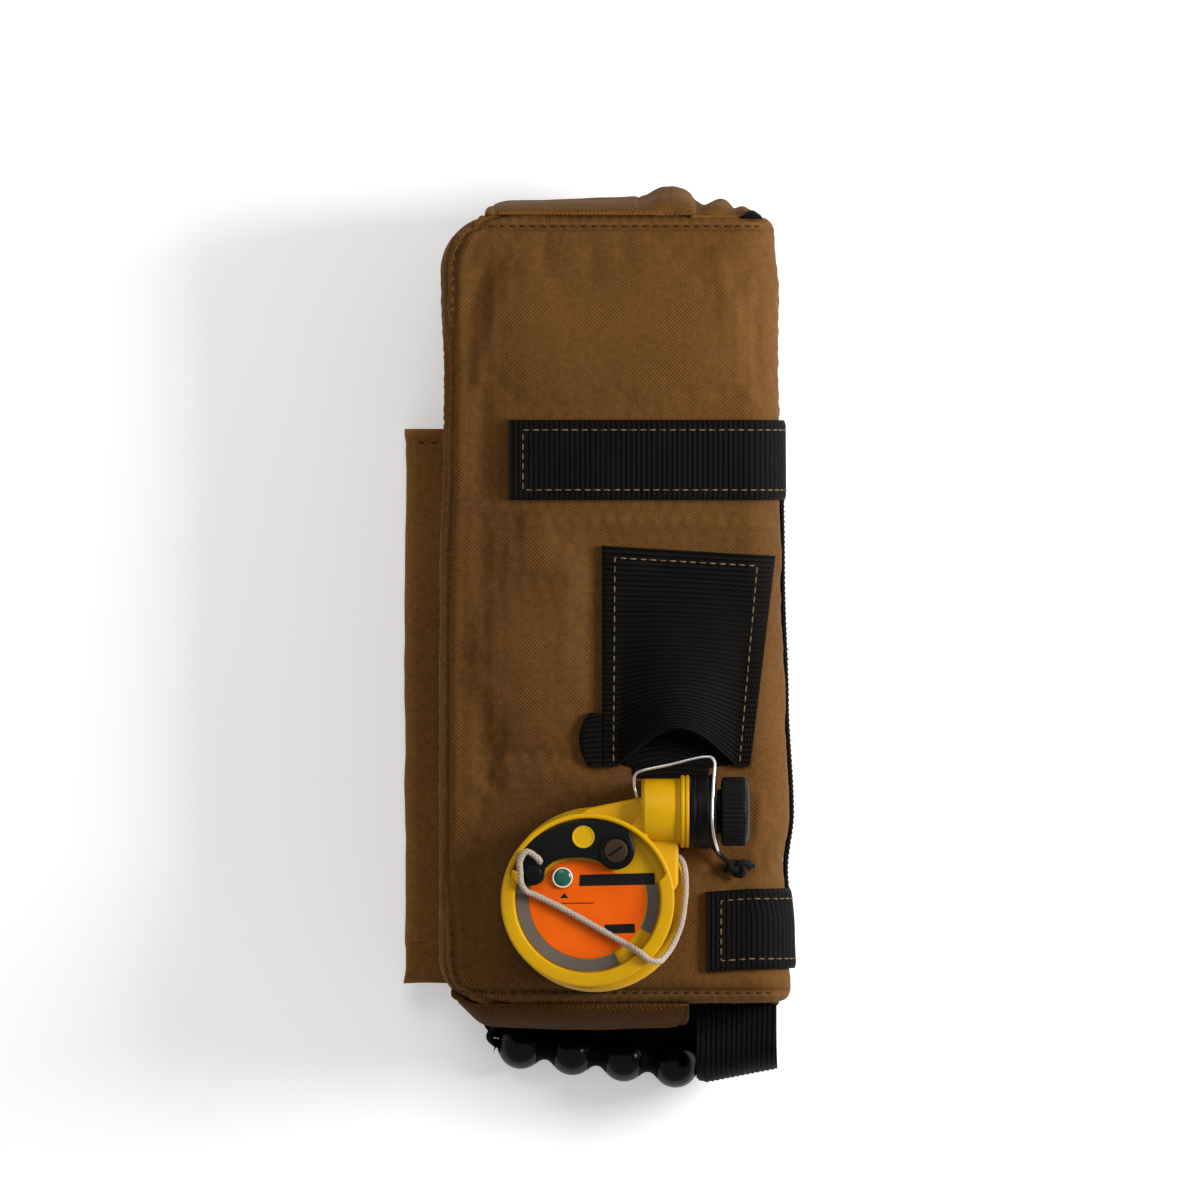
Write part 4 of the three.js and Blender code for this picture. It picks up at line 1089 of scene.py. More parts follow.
def build_wrapped(name, start_x, middle_y, slope, steps):
    """Webbing over the right edge, with its stitches 4.6 mm from the end and 3.4 mm from the sides."""
    grid = wrapped_points(start_x, middle_y, slope, SEAT_GAP, steps, 40)
    web = cloth_sheet(name + "_web", grid, WEB_THICKNESS, WEBBING, rib_relief)
    top = wrapped_points(start_x, middle_y, slope, SEAT_GAP + WEB_THICKNESS + RIB_HEIGHT, 110, 25)
    row = max(1, round(4.6 / np.linalg.norm(top[1, 12] - top[0, 12])))
    path = three_sided_path(top, row, round(3.4 / (WEB_WIDTH / 24)))
    stitches = stitch_row(name + "_stitches", path, path_normals(path), **WEB_STITCH)
    show(join(name + "_webbing", [web, stitches]), "webbing", name)


SLEEVE_LEFT_X = 0.5
SLEEVE_WIDTH = 53.5
SLEEVE_MOUTH_WIDTH = 47
SLEEVE_TOP_Y = 28
SLEEVE_MOUTH_Y = -40.5
SLEEVE_TOP_SLOPE = 0.06
SLEEVE_WALL = 2
SLEEVE_ARCH = 11.5
SLEEVE_BULGE = 11
SLEEVE_SEWN_SHARE = 0.12
# The under-layer's part below the sleeve's mouth is a black strip of painted shade.
SHADE_STRIP_LOWER_Y = -44.3
UNDER_LAYER_TOP_Y = -14
UNDER_LAYER_LEFT_X = 6.6
UNDER_LAYER_RIGHT_X = 42
TAB_WIDTH = 7
TAB_LENGTH = 17


def sleeve_point(u, v, lift):
    """Point of the sleeve: u across from 0 to 1, v from its mouth up."""
    sewn = SLEEVE_SEWN_SHARE
    width = SLEEVE_MOUTH_WIDTH + (SLEEVE_WIDTH - SLEEVE_MOUTH_WIDTH) * v
    x = SLEEVE_LEFT_X + width * u
    top_y = SLEEVE_TOP_Y - SLEEVE_TOP_SLOPE * width * (u - 0.5)
    arch = SLEEVE_ARCH * math.sin(math.pi * min(max((u - 0.1) / 0.8, 0), 1)) ** 1.2 * (1 - v) ** 3
    y = SLEEVE_MOUTH_Y + (top_y - SLEEVE_MOUTH_Y) * v + arch
    loose = min(max((u - sewn) / (1 - 2 * sewn), 0), 1)
    fade = max(0.0, 1 - v / (1 - sewn))
    bulge = SLEEVE_BULGE * math.sin(math.pi * loose) ** 1.3 * fade ** 1.15
    dent = 0.5 * fuzz(x, y, 0, 16, 3.3) * fade - 0.8 * bump_at(u, 0.55, 0.12) * bump_at(v, 0.42, 0.25)
    height = SEAT_GAP + bulge + 4 * dent * loose * (1 - loose) + lift
    return np.array([x, y, face_height(x, y) + height])


def under_layer_with_shade_strip():
    """The sleeve's under-layer, which runs on below its mouth as a narrower black strip: painted shade in the
    gap above the neck.
    """
    grid = []
    for y in np.linspace(SHADE_STRIP_LOWER_Y, UNDER_LAYER_TOP_Y, 112):
        past = smooth(SLEEVE_MOUTH_Y - y, -0.9, 0.7)
        corner = round_inset(y - SHADE_STRIP_LOWER_Y, 2)
        low_x = UNDER_LAYER_LEFT_X + 3.4 * past + corner
        high_x = UNDER_LAYER_RIGHT_X - 7.5 * past - corner
        grid.append([on_face(x, y, 0.35) for x in np.linspace(low_x, high_x, 20)])
    return cloth_sheet("sleeve_under", grid, 0.8, WEBBING, rib_relief)


def build_sleeve():
    grid = np.array([
        [sleeve_point(u, v, 0) for u in np.linspace(0, 1, 72)] for v in np.linspace(0, 1, 270)
    ])
    # The ribs keep level where the mouth arches
    heights = (SLEEVE_TOP_Y - SLEEVE_MOUTH_Y) * np.linspace(0, 1, 270)
    level = np.broadcast_to(heights[:, None], grid.shape[:2])
    cut = np.stack([level, grid_lengths(grid)[1]], axis=2)
    web = cloth_sheet(
        "sleeve_web", grid, SLEEVE_WALL, WEBBING, lambda along, across: rib_relief(level, across),
        flip=True, uv=cut,
    )
    lift = SLEEVE_WALL + RIB_HEIGHT
    side, low, high = 0.075, 0.015, 0.948
    path = [sleeve_point(side, v, lift) for v in np.linspace(low, high, 90)]
    path += [sleeve_point(u, high, lift) for u in np.linspace(side, 1 - side, 60)]
    path += [sleeve_point(1 - side, v, lift) for v in np.linspace(high, low, 90)]
    under = under_layer_with_shade_strip()
    stitches = stitch_row("sleeve_stitches", path, UP, **WEB_STITCH)
    show(join("sleeve_webbing", [web, under, stitches]), "webbing", "cylinder_sleeve")


def build_tab():
    """Rounded tab at the sleeve's lower left."""
    grid = []
    for v in np.linspace(0, 1, 60):
        reach = TAB_WIDTH * math.sin(math.pi * (0.12 + 0.76 * v)) ** 0.6
        y = SLEEVE_MOUTH_Y + TAB_LENGTH * v
        xs = SLEEVE_LEFT_X - SEAT_GAP - reach * np.linspace(1, 0, 24)
        grid.append([on_face(x, y, SEAT_GAP) for x in xs])
    tab = cloth_sheet("tab_webbing", grid, WEB_THICKNESS, WEBBING, rib_relief, flip=True)
    show(tab, "webbing", "sleeve_tab")


def build_belt_strap():
    """Webbing down the right wall, with pairs of stitch rows at both ends and in its middle."""
    low, high = in_layout(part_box("belt_strap"))
    ys = np.linspace(low[1], high[1], 420)
    grid = []
    for y in ys:
        x = Section(y).right + 0.12
        zs = np.linspace(low[2], high[2], 36)
        grid.append([(x + 0.12 * fuzz(0, y, z, 30, 5.0), y, z) for z in zs])
    rows = [cloth_sheet("belt_web", grid, WEB_THICKNESS - RIB_HEIGHT, WEBBING, rib_relief)]
    for y in (low[1] + 3.5, low[1] + 6.5, -6.5, -3.5, high[1] - 6.5, high[1] - 3.5):
        x = grid[int(np.argmin(abs(ys - y)))][18][0] + WEB_THICKNESS + 0.15
        path = [Vector((x, y, z)) for z in np.linspace(low[2] + 2.5, high[2] - 2.5, 30)]
        tack = stitch_row("tack", path, Vector((1, 0, 0)), TAN_THREAD, 2.6, 1.9, 0.24)
        rows.append(tack)
    show(join("belt_webbing", rows), "webbing", "belt_strap")


LOOP_LEFT_X = 30.6
LOOP_REACH = 26.4
LOOP_RADIUS = 10
LOOP_ABOVE_BACK = 4
LOOP_SLANT = 0.2


def loop_point(run, turn, u, straight):
    """Point of the loop: run along its straight, turn round its fold, u across."""
    slant = 1 - LOOP_SLANT * u - 0.08 * bump_at(u, 0, 0.07)
    sway = 0.5 * math.sin(2.4 * u + turn) * run / straight
    away = run + LOOP_RADIUS * math.sin(turn)
    low_z = BACK_Z + LOOP_ABOVE_BACK + WEB_THICKNESS
    z = low_z + LOOP_RADIUS - LOOP_RADIUS * math.cos(turn) + sway * math.sin(turn + 0.6)
    return (LOOP_LEFT_X + WEB_WIDTH * u, COVER_LOWER_Y - SEAT_GAP - away * slant, z)


def lengthwise_ribs(along, across):
    return RIB_HEIGHT * (0.5 + 0.5 * np.sin(TAU * across / RIB_PITCH))


def build_loop():
    """Webbing loop: out, round its fold and back, with the fold on a slant and lengthwise ribs."""
    straight = LOOP_REACH - LOOP_RADIUS - WEB_THICKNESS
    steps = [(run, 0.0) for run in np.linspace(0, straight, 22)]
    steps += [(straight, turn) for turn in np.radians(np.linspace(0, 180, 44))[1:-1]]
    steps += [(run, math.pi) for run in np.linspace(straight, 0, 22)]
    us = np.linspace(0, 1, 110)
    grid = np.array([[loop_point(run, turn, u, straight) for u in us] for run, turn in steps])
    along, across = grid_lengths(grid)
    web = cloth_sheet(
        "loop_webbing", grid, WEB_THICKNESS - RIB_HEIGHT, WEBBING, lengthwise_ribs,
        flip=True, uv=np.stack([across, along], axis=2),
    )
    show(web, "webbing", "pull_loop")


# Flaps across the ends

TOP_FLAP_ROLL = np.array([
    (0.00, 0.38), (0.12, 0.55), (0.55, 0.64), (0.76, 0.72), (0.86, 1.00), (0.95, 0.96), (1.00, 0.50),
])
BOTTOM_FLAP_ROLL = np.array([(0.00, 0.36), (0.18, 0.90), (0.50, 1.00), (0.90, 0.96), (1.00, 0.80)])
FLAP_THICKNESS = 1.9
FLAP_HEIGHT = 34
FLAP_STITCH_BORDER = 3.4


class Flap:
    """A flap's sizes: its end of the pack (1 top, -1 bottom), edges, reach and roll along x."""

    def __init__(self, side, left_x, right_x, reach, roll):
        self.side = side
        self.left_x = left_x
        self.width = right_x - left_x
        self.reach = reach
        self.roll = roll
        self.end_y = COVER_TOP_Y if side > 0 else COVER_LOWER_Y
        self.corner = LEFT_TOP_RADIUS if side > 0 else LEFT_LOWER_RADIUS

    def point(self, u, v, lift=0.0):
        """Point of its lower side: u across from 0 to 1, v from the back up."""
        x = self.left_x + self.width * u
        z = BACK_Z + (COVER_THICKNESS - FLAP_HEIGHT) / 2 + (FLAP_HEIGHT + 2.5) * v
        arch = math.sin(math.pi * v) ** 0.62
        roll = max(self.reach * eased(self.roll, 1, u) - FLAP_THICKNESS - SEAT_GAP, 0)
        away = SEAT_GAP + roll * arch
        if self.side < 0:
            away *= smooth(u, -0.03, 0.14)
        fold = 0.5 * fuzz(x, 0, z, 11, 2.0 + self.side)
        fold += 0.3 * math.sin(0.5 * z + 2 * fuzz(x, 0, 0, 15, 5.5))
        if self.side > 0:
            fold -= 1.5 * bump_at(u, 0.735, 0.014) + 0.9 * bump_at(u, 0.955, 0.012)
            fold += 0.4 * bump_at(u, 0.90, 0.02) - 0.5 * bump_at(u, 0.03, 0.02)
        away += 0.75 * fold * arch + lift - round_inset(x - COVER_LEFT_X, self.corner)
        return np.array([x, self.end_y + self.side * away, z])


def flap_relief(along, across):
    """Thin edges, and a groove under the stitches of both side hems."""
    hem_gap = np.minimum(across, across[:, -1:].max() - across)
    edge = np.minimum(hem_gap, np.minimum(along, along[-1:, :].max() - along))
    thin = -(FLAP_THICKNESS - 0.6) * np.clip(1 - edge / 1.6, 0, 1) ** 2
    return thin - 0.3 * np.exp(-(((hem_gap - FLAP_STITCH_BORDER) / 0.6) ** 2))


def build_flap(name, flap, material, slot):
    us = np.linspace(0, 1, 200)
    vs = (1 - np.cos(np.pi * np.linspace(0, 1, 60))) / 2
    grid = np.array([[flap.point(u, v) for u in us] for v in vs])
    parts = [cloth_sheet(name + "_cloth", grid, FLAP_THICKNESS, material, flap_relief, flap.side < 0)]
    edge = FLAP_STITCH_BORDER / flap.width
    for u in (edge, 1 - edge):
        path = [flap.point(u, v, FLAP_THICKNESS - 0.2) for v in np.linspace(0.08, 0.9, 40)]
        out = Vector((0, flap.side, 0.1))
        parts.append(stitch_row("flap_row", path, out, BROWN_THREAD, radius=0.3))
    if flap.side > 0:
        parts += build_gather()
    show(join(name + "_cloth", parts), slot, name)


def build_gather():
    """Crumpled cloth to the right of the upper flap, with a black sheet at its end as painted shade in the
    gap.
    """
    left_x, right_x = 28.6, 50.0
    grid = []
    for v in np.linspace(0, 1, 44):
        row = []
        for u in np.linspace(0, 1, 90):
            x = left_x + (right_x - left_x) * u
            z = 38 + 20.5 * v
            out = 4.4 * (1 - u) ** 0.8 + 1.9 * bump_at(u, 0.45, 0.2) + 1.5 * bump_at(u, 0.8, 0.1)
            out += 1.1 * math.sin(15 * u + 3.2 * v + 1.5 * fuzz(x, 0, z, 7, 4.0)) * (1 - u)
            out += 0.8 * fuzz(x, 0, z, 5, 7.5)
            y = COVER_TOP_Y - 0.4 + out * math.sin(math.pi * min(v + 0.12, 1)) ** 0.6
            row.append((x, max(y, COVER_TOP_Y - 0.6), z - 1.5 * u))
        grid.append(row)
    cloth = cloth_sheet("gather", grid, 0.9, BROWN)
    # Black sheet in the gap at the end: painted shade.
    shade_sheet = []
    for v in np.linspace(0, 1, 14):
        reach = 2.2 * math.sin(math.pi * v) ** 0.5
        shade_sheet.append([
            (44.5 + 6.5 * u, COVER_TOP_Y - 0.6 + reach * math.sin(math.pi * u), 51 + 7.5 * v)
            for u in np.linspace(0, 1, 24)
        ])
    return [cloth, cloth_sheet("gather_gap_painted_shade", shade_sheet, 0.6, WEBBING)]


# Pocket on the back

POCKET_WALL = 1.5
POCKET_EDGE_RADIUS = 4
POCKET_HEM = 4.4
POCKET_MOUTH_Y = POCKET_LOWER_Y + POCKET_LENGTH
POCKET_RIGHT_X = POCKET_LEFT_X + POCKET_WIDTH
BACKING_REACH = 5
BACKING_THICKNESS = 1.7


def pocket_loop(y, inset):
    """The pocket's cross-section at y, taken in by inset."""
    lower = POCKET_LOWER_Y + inset
    edge = POCKET_EDGE_RADIUS - inset / 2
    corner = round_inset(y - lower, POCKET_CORNER_RADIUS - inset)
    drop = 0.7 * round_inset(y - lower, edge)
    bottom = inset + drop
    top = POCKET_THICKNESS - inset - drop
    radius = min(edge, (top - bottom) / 2)
    left = POCKET_LEFT_X + inset + corner + radius
    right = POCKET_RIGHT_X - inset - corner - radius
    # Corner's centre, the angle where it starts, and the straight that follows it, if one does
    corners = [
        (left, bottom + radius, 180, (right, bottom)),
        (right, bottom + radius, 270, None),
        (right, top - radius, 0, (left, top)),
        (left, top - radius, 90, None),
    ]
    points = []
    for x, z, start, straight in corners:
        for angle in np.radians(np.linspace(start, start + 90, 9)):
            points.append((x + radius * math.cos(angle), y, z + radius * math.sin(angle)))
        if straight:
            far, level = straight
            points += [(x + (far - x) * t, y, level) for t in np.linspace(0, 1, 42)[1:-1]]
    return points


def pocket_shell():
    """Open-topped shell, with a hem and small waves on the strip that shows past the cover."""
    curve = POCKET_CORNER_RADIUS * (1 - np.cos(np.radians(np.linspace(4, 90, 10))))
    straight = np.linspace(POCKET_LOWER_Y + POCKET_CORNER_RADIUS, POCKET_MOUTH_Y, 105)[1:]
    ys = np.concatenate([POCKET_LOWER_Y + curve, straight])
    outer = np.array([pocket_loop(y, 0) for y in ys])
    inner = np.array([pocket_loop(max(y, POCKET_LOWER_Y + 1.6), POCKET_WALL) for y in ys])
    for i, y in enumerate(ys):
        below = POCKET_MOUTH_Y - y
        hem_rise = 0.35 * (bump_at(below, 1.5, 1.6) - bump_at(below, POCKET_HEM, 0.5))
        for j in range(outer.shape[1]):
            x, _, z = outer[i, j]
            if x < POCKET_LEFT_X + 5:
                wave = 0.6 * fuzz(x, y, z, 24, 8.0) + 0.25 * fuzz(x, y, z, 9, 2.0)
                outer[i, j, 0] = max(x + wave - 0.8 * hem_rise, POCKET_LEFT_X - 0.8)
            if z > 8 and x < COVER_LEFT_X - 1.5:
                outer[i, j, 2] += 0.2 * fuzz(x, y, 0, 18, 6.0) + hem_rise
    m, n = outer.shape[:2]
    cut = np.stack(grid_lengths(outer), axis=2).reshape(-1, 2)
    index = np.arange(m * n).reshape(m, n)
    closed = np.concatenate([index, index[:, :1]], axis=1)
    rim = closed[-1]
    mouth = np.stack([rim[:-1], rim[1:], rim[1:] + m * n, rim[:-1] + m * n], axis=-1)
    faces = [tuple(f) for f in np.concatenate([grid_faces(closed), grid_faces(closed + m * n), mouth])]
    faces += [tuple(index[0]), tuple(index[0] + m * n)]
    verts = np.concatenate([outer.reshape(-1, 3), inner.reshape(-1, 3)])
    shell = new_object("pocket_shell", verts, faces, POCKET_BROWN_PAINTED_LIGHT, np.concatenate([cut, cut]))
    outward(shell)
    soften(shell, 50)
    return shell


def pocket_backing():
    """Under-panel: the pocket's backing, which shows past its lower end."""
    panel = []
    for y in np.linspace(POCKET_LOWER_Y + 9, POCKET_LOWER_Y - BACKING_REACH, 24):
        past = smooth(-y, -POCKET_LOWER_Y, BACKING_REACH - POCKET_LOWER_Y)
        z = POCKET_THICKNESS - BACKING_THICKNESS
        panel.append([
            (x, y + 0.3 * fuzz(x, 0, 0, 14, 1.0), z + 0.12 * fuzz(x, y, 0, 12, 3.0))
            for x in np.linspace(POCKET_LEFT_X + 0.2 - 0.7 * past, POCKET_RIGHT_X - 1.5, 90)
        ])
    return cloth_sheet("pocket_backing", panel, BACKING_THICKNESS, POCKET_BROWN_PAINTED_LIGHT)


def pocket_stitches(low_x, high_x, z, count, side, sunk):
    path = [Vector((x, POCKET_MOUTH_Y - POCKET_HEM, z)) for x in np.linspace(low_x, high_x, count)]
    return stitch_row("pocket_row", path, side * UP, BROWN_THREAD, radius=0.3, sunk=sunk)


def build_pocket():
    parts = [
        pocket_shell(),
        pocket_backing(),
        pocket_stitches(POCKET_LEFT_X + 3, COVER_LEFT_X, POCKET_THICKNESS + 0.05, 12, 1, 0.1),
        pocket_stitches(POCKET_LEFT_X + 5, POCKET_RIGHT_X - 5, -0.02, 60, -1, 0.3),
    ]
    show(join("pocket_cloth", parts), "cover_cloth", "pocket")


# Beaded handle

BEAD_COUNT = 4
BEAD_RADIUS = 7.3
BEAD_HOLE_RADIUS = 1.6
BEAD_PITCH = 16.6
BEAD_ROW_ANGLE = -0.12
THREAD_RADIUS = 1.2
THREAD_END_RUN = 11
HANDLE_THICKNESS = 1.7
# How far the strap's scallops run in behind the beads, and how far below the row's middle
STRAP_TUCK = 0.18
STRAP_DROP = 3.4
FIRST_BEAD = np.array([-25.5, -130.2, SEAT_GAP + BEAD_RADIUS])
ALONG_ROW = np.array([math.cos(BEAD_ROW_ANGLE), math.sin(BEAD_ROW_ANGLE), 0])
ROW_START = FIRST_BEAD - ALONG_ROW * THREAD_END_RUN
ROW_END = FIRST_BEAD + ALONG_ROW * ((BEAD_COUNT - 1) * BEAD_PITCH + THREAD_END_RUN)


def place_in_row(obj, pitches):
    """Turns a part made at the origin into the row, and moves it some pitches from the first bead."""
    turn = np.array([
        [ALONG_ROW[0], -ALONG_ROW[1], 0],
        [ALONG_ROW[1], ALONG_ROW[0], 0],
        [0, 0, 1],
    ])
    centre = FIRST_BEAD + ALONG_ROW * BEAD_PITCH * pitches
    for vertex in obj.data.vertices:
        local = np.array(vertex.co) / MM - SHIFT
        vertex.co = Vector((turn @ local + centre + SHIFT) * MM)


def strands(depth, twist):
    """Swell of a cord of three strands that stand out by depth and turn by twist a millimetre."""
    return lambda share, angle, run: 1 - depth + depth * math.sin(3 * angle + twist * run)


def build_beads():
    """Round beads with a faint parting line, drilled along the row with softened mouths."""
    hole = math.asin(BEAD_HOLE_RADIUS / BEAD_RADIUS)
    profile = [
        (-BEAD_RADIUS * math.cos(a), BEAD_RADIUS * math.sin(a)) for a in np.linspace(hole, math.pi - hole, 56)
    ]
    far = profile[-1][0]
    ring = profile + [(far - 0.3, 1.45), (0.0, 1.4), (0.3 - far, 1.45), profile[0]]
    for i in range(BEAD_COUNT):
        bead = lathe(
            f"bead_{i + 1}_gloss", ring, BEAD_BLACK, (0, 0, 0), axis="x", steps=72,
            ripple=lambda angle, along, radius: radius + 0.03 * bump_at(along, 0, 0.25) * (radius > 5),
        )
        place_in_row(bead, i)
        show(bead, "bead", f"bead_{i + 1}")


def build_thread():
    """Thread through the beads, with both ends turned back under the strap."""
    tuck_in = np.array([0, 5.5, -0.6])

    def turned_back(end, inward):
        return [end + inward * 2.6, end + inward * 0.9 + tuck_in * 0.4, end + tuck_in + inward * 3.0]

    middle = [ROW_START + (ROW_END - ROW_START) * t for t in np.linspace(0.08, 0.92, 12)]
    bends = turned_back(ROW_START, ALONG_ROW)[::-1] + middle + turned_back(ROW_END, -ALONG_ROW)
    thread = tube(
        "thread_cord", smooth_route(bends, 0.7), THREAD_RADIUS, BLACK_THREAD, 16, strands(0.07, 2.2),
    )
    show(thread, "thread", "handle_thread")


def strap_edge(x, y):
    """The strap's outer edge at a point of the row: scalloped round the beads."""
    edge = y + THREAD_RADIUS + SEAT_GAP
    for i in range(BEAD_COUNT):
        bead_x, bead_y, _ = FIRST_BEAD + ALONG_ROW * BEAD_PITCH * i
        reach = (BEAD_RADIUS - STRAP_TUCK) ** 2 - (x - bead_x) ** 2
        if reach > 0:
            edge = max(edge, bead_y + math.sqrt(reach))
    return edge


def handle_strap():
    """Strap from under the cover's lower end out to the beads."""
    tuck = 0.25 * END_EDGE_RADIUS
    low_y = COVER_LOWER_Y + tuck
    low_z = BACK_Z + round_inset(tuck, END_EDGE_RADIUS) - 1.5 * SEAT_GAP
    rise = FIRST_BEAD[2] - STRAP_DROP - low_z
    grid = []
    for u in np.linspace(0, 1, 260):
        x, row_y, _ = ROW_START + (ROW_END - ROW_START) * u
        reach = strap_edge(x, row_y) - low_y
        row = []
        for v in np.linspace(0, 1, 30):
            y = low_y + reach * v
            skew = (5.0 * v * v - 3.0) * (1 - smooth(u, 0.0, 0.12))
            z = low_z - 2 * (1 - v) + rise * math.sin(math.pi / 2 * v)
            row.append((x + skew, y, z + 0.25 * fuzz(x, y, 0, 10, 9.0) * math.sin(math.pi * v)))
        grid.append(row)
    return cloth_sheet("handle_webbing", grid, HANDLE_THICKNESS, WEBBING, rib_relief, flip=True)


def spacer(i):
    """Hollow-waisted webbing between two beads; the row's two ends get a thin half-length one."""
    radii = np.linspace(1.4, 5.2, 9)
    ring = [(0.12 - BEAD_PITCH / 2 + math.sqrt(BEAD_RADIUS ** 2 - r * r), r) for r in radii]
    pitches = i - 0.5
    if i in (0, BEAD_COUNT):
        ring = [(x * 0.5, r) for x, r in ring[:5]]
        pitches -= (0.7 if i else -0.7) / BEAD_PITCH
    edge, radius = ring[-1]
    waist = [(edge * t, radius - 1.9 * (1 - t * t)) for t in np.linspace(0.75, -0.75, 7)]
    ring += waist + [(-x, r) for x, r in ring[::-1]]
    piece = lathe("thread_loop", rounded_corners(ring + ring[:1], 0.5), WEBBING, (0, 0, 0), "x", 36)
    place_in_row(piece, pitches)
    return piece


def build_handle():
    build_beads()
    build_thread()
    parts = [handle_strap()] + [spacer(i) for i in range(BEAD_COUNT + 1)]
    show(join("handle_webbing", parts), "webbing", "handle_strap")


# Inflator: heights and places on its face are taken from the ring's centre

FACE_RADIUS = 23.1
LEVER_RECESS_RADIUS = 25.9
FACE_DEPTH = 4.2
FLANK_RADIUS = 29.3
FLANK_SHIFT = 2.4
FLANK_HEIGHT = 12
NECK_RADIUS = 10.4
NECK_LENGTH = NECK_RIGHT_X - NECK_LEFT_X
LEVER_PIVOT = (8.9, 15.6)
LEVER_END = (-17.4, 8.3)
WINDOW_PLACE = (-1.4, 20)
INDICATOR_PLACE = (-8, 7.1)
LABEL_Z = RING_TOP_Z - FACE_DEPTH + 0.02
LABEL_BASE = 0.35
LEVER_Z = RING_TOP_Z - FACE_DEPTH + 2 * SEAT_GAP + 0.6
LEVER_THICKNESS = 2.8


def ring_inner_radius(angle):
    """Inner edge of the rim: wider where the lever lies in it."""
    y = LEVER_RECESS_RADIUS * math.sin(angle)
    return FACE_RADIUS + (LEVER_RECESS_RADIUS - FACE_RADIUS) * smooth(y, 6.4, 8.2)


def build_ring():
    """Round housing with a recessed face and a rolled rim."""
    steps = 192
    verts = []
    for i in range(steps):
        angle = TAU * i / steps
        inner = ring_inner_radius(angle)
        outline = rounded_corners([
            (0.0, 0.0),
            (RING_RADIUS - 0.2, 0.0),
            (RING_RADIUS, RING_HEIGHT * 0.5),
            (RING_RADIUS, RING_HEIGHT),
            (inner, RING_HEIGHT),
            (inner - 0.15, RING_HEIGHT - FACE_DEPTH),
            (0.0, RING_HEIGHT - FACE_DEPTH),
        ], 0.75)
        for r, z in outline:
            verts.append((RING_X + r * math.cos(angle), RING_Y + r * math.sin(angle), INFLATOR_Z + z))
    ring = new_object("ring", verts, turned_faces(steps, len(outline)), YELLOW)
    outward(ring, weld=0.005 * MM)
    soften(ring, 40)
    return ring


def prism(name, outline, low_z, high_z, material, bevel, segments=3):
    """Upright prism of an outline, with rounded edges."""
    bm = bmesh.new()
    face = bm.faces.new([bm.verts.new((x, y, low_z)) for x, y in outline])
    grown = bmesh.ops.extrude_face_region(bm, geom=[face])
    for item in grown["geom"]:
        if isinstance(item, bmesh.types.BMVert):
            item.co.z = high_z
    bmesh.ops.recalc_face_normals(bm, faces=bm.faces)
    bm.verts.index_update()
    verts = [tuple(v.co) for v in bm.verts]
    faces = [tuple(v.index for v in f.verts) for f in bm.faces]
    bm.free()
    obj = new_object(name, verts, faces, material)
    if bevel:
        edge = obj.modifiers.new("edge", "BEVEL")
        edge.width = bevel * MM
        edge.segments = segments
        edge.limit_method = "ANGLE"
        edge.angle_limit = math.radians(35)
        apply_modifiers(obj)
    soften(obj, 35)
    return obj


def from_ring(outline):
    """Outline given from the ring's centre, placed in the layout."""
    return [(RING_X + p[0], RING_Y + p[1]) for p in outline]


def turned(name, profile, rounding, material, place, z, steps):
    """Turned piece that stands on the inflator, with its corners rounded."""
    centre = (RING_X + place[0], RING_Y + place[1], z)
    return lathe(name, rounded_corners(profile, rounding), material, centre, steps=steps)


def arc_points(x, y, radius, start, end, count):
    return [
        (x + radius * math.cos(a), y + radius * math.sin(a))
        for a in np.radians(np.linspace(start, end, count))
    ]


def band(start, end, low, high, count):
    """Outline of a stretch of a flat ring round the face."""
    outer = arc_points(RING_X, RING_Y, high, start, end, count)
    return outer + arc_points(RING_X, RING_Y, low, end, start, count)


def build_neck():
    """The neck with its grooves and its flange, turned about X."""
    end = NECK_LENGTH
    profile = [
        (0, 0), (0, 9.2), (1.0, NECK_RADIUS), (end - 1.9, NECK_RADIUS), (end - 1.6, 10.0),
        (end - 1.1, 10.0), (end - 0.8, 10.5), (end, 10.5), (end + 0.2, 11.5), (end + 1.2, 11.6),
        (end + 1.4, 11.15), (end + 1.7, 11.15), (end + 1.9, 11.6), (end + 2.9, 11.5), (end + 2.9, 0),
    ]
    return lathe("neck", rounded_corners(profile, 0.3, 3), YELLOW, (NECK_LEFT_X, NECK_Y, NECK_Z), "x", 128)


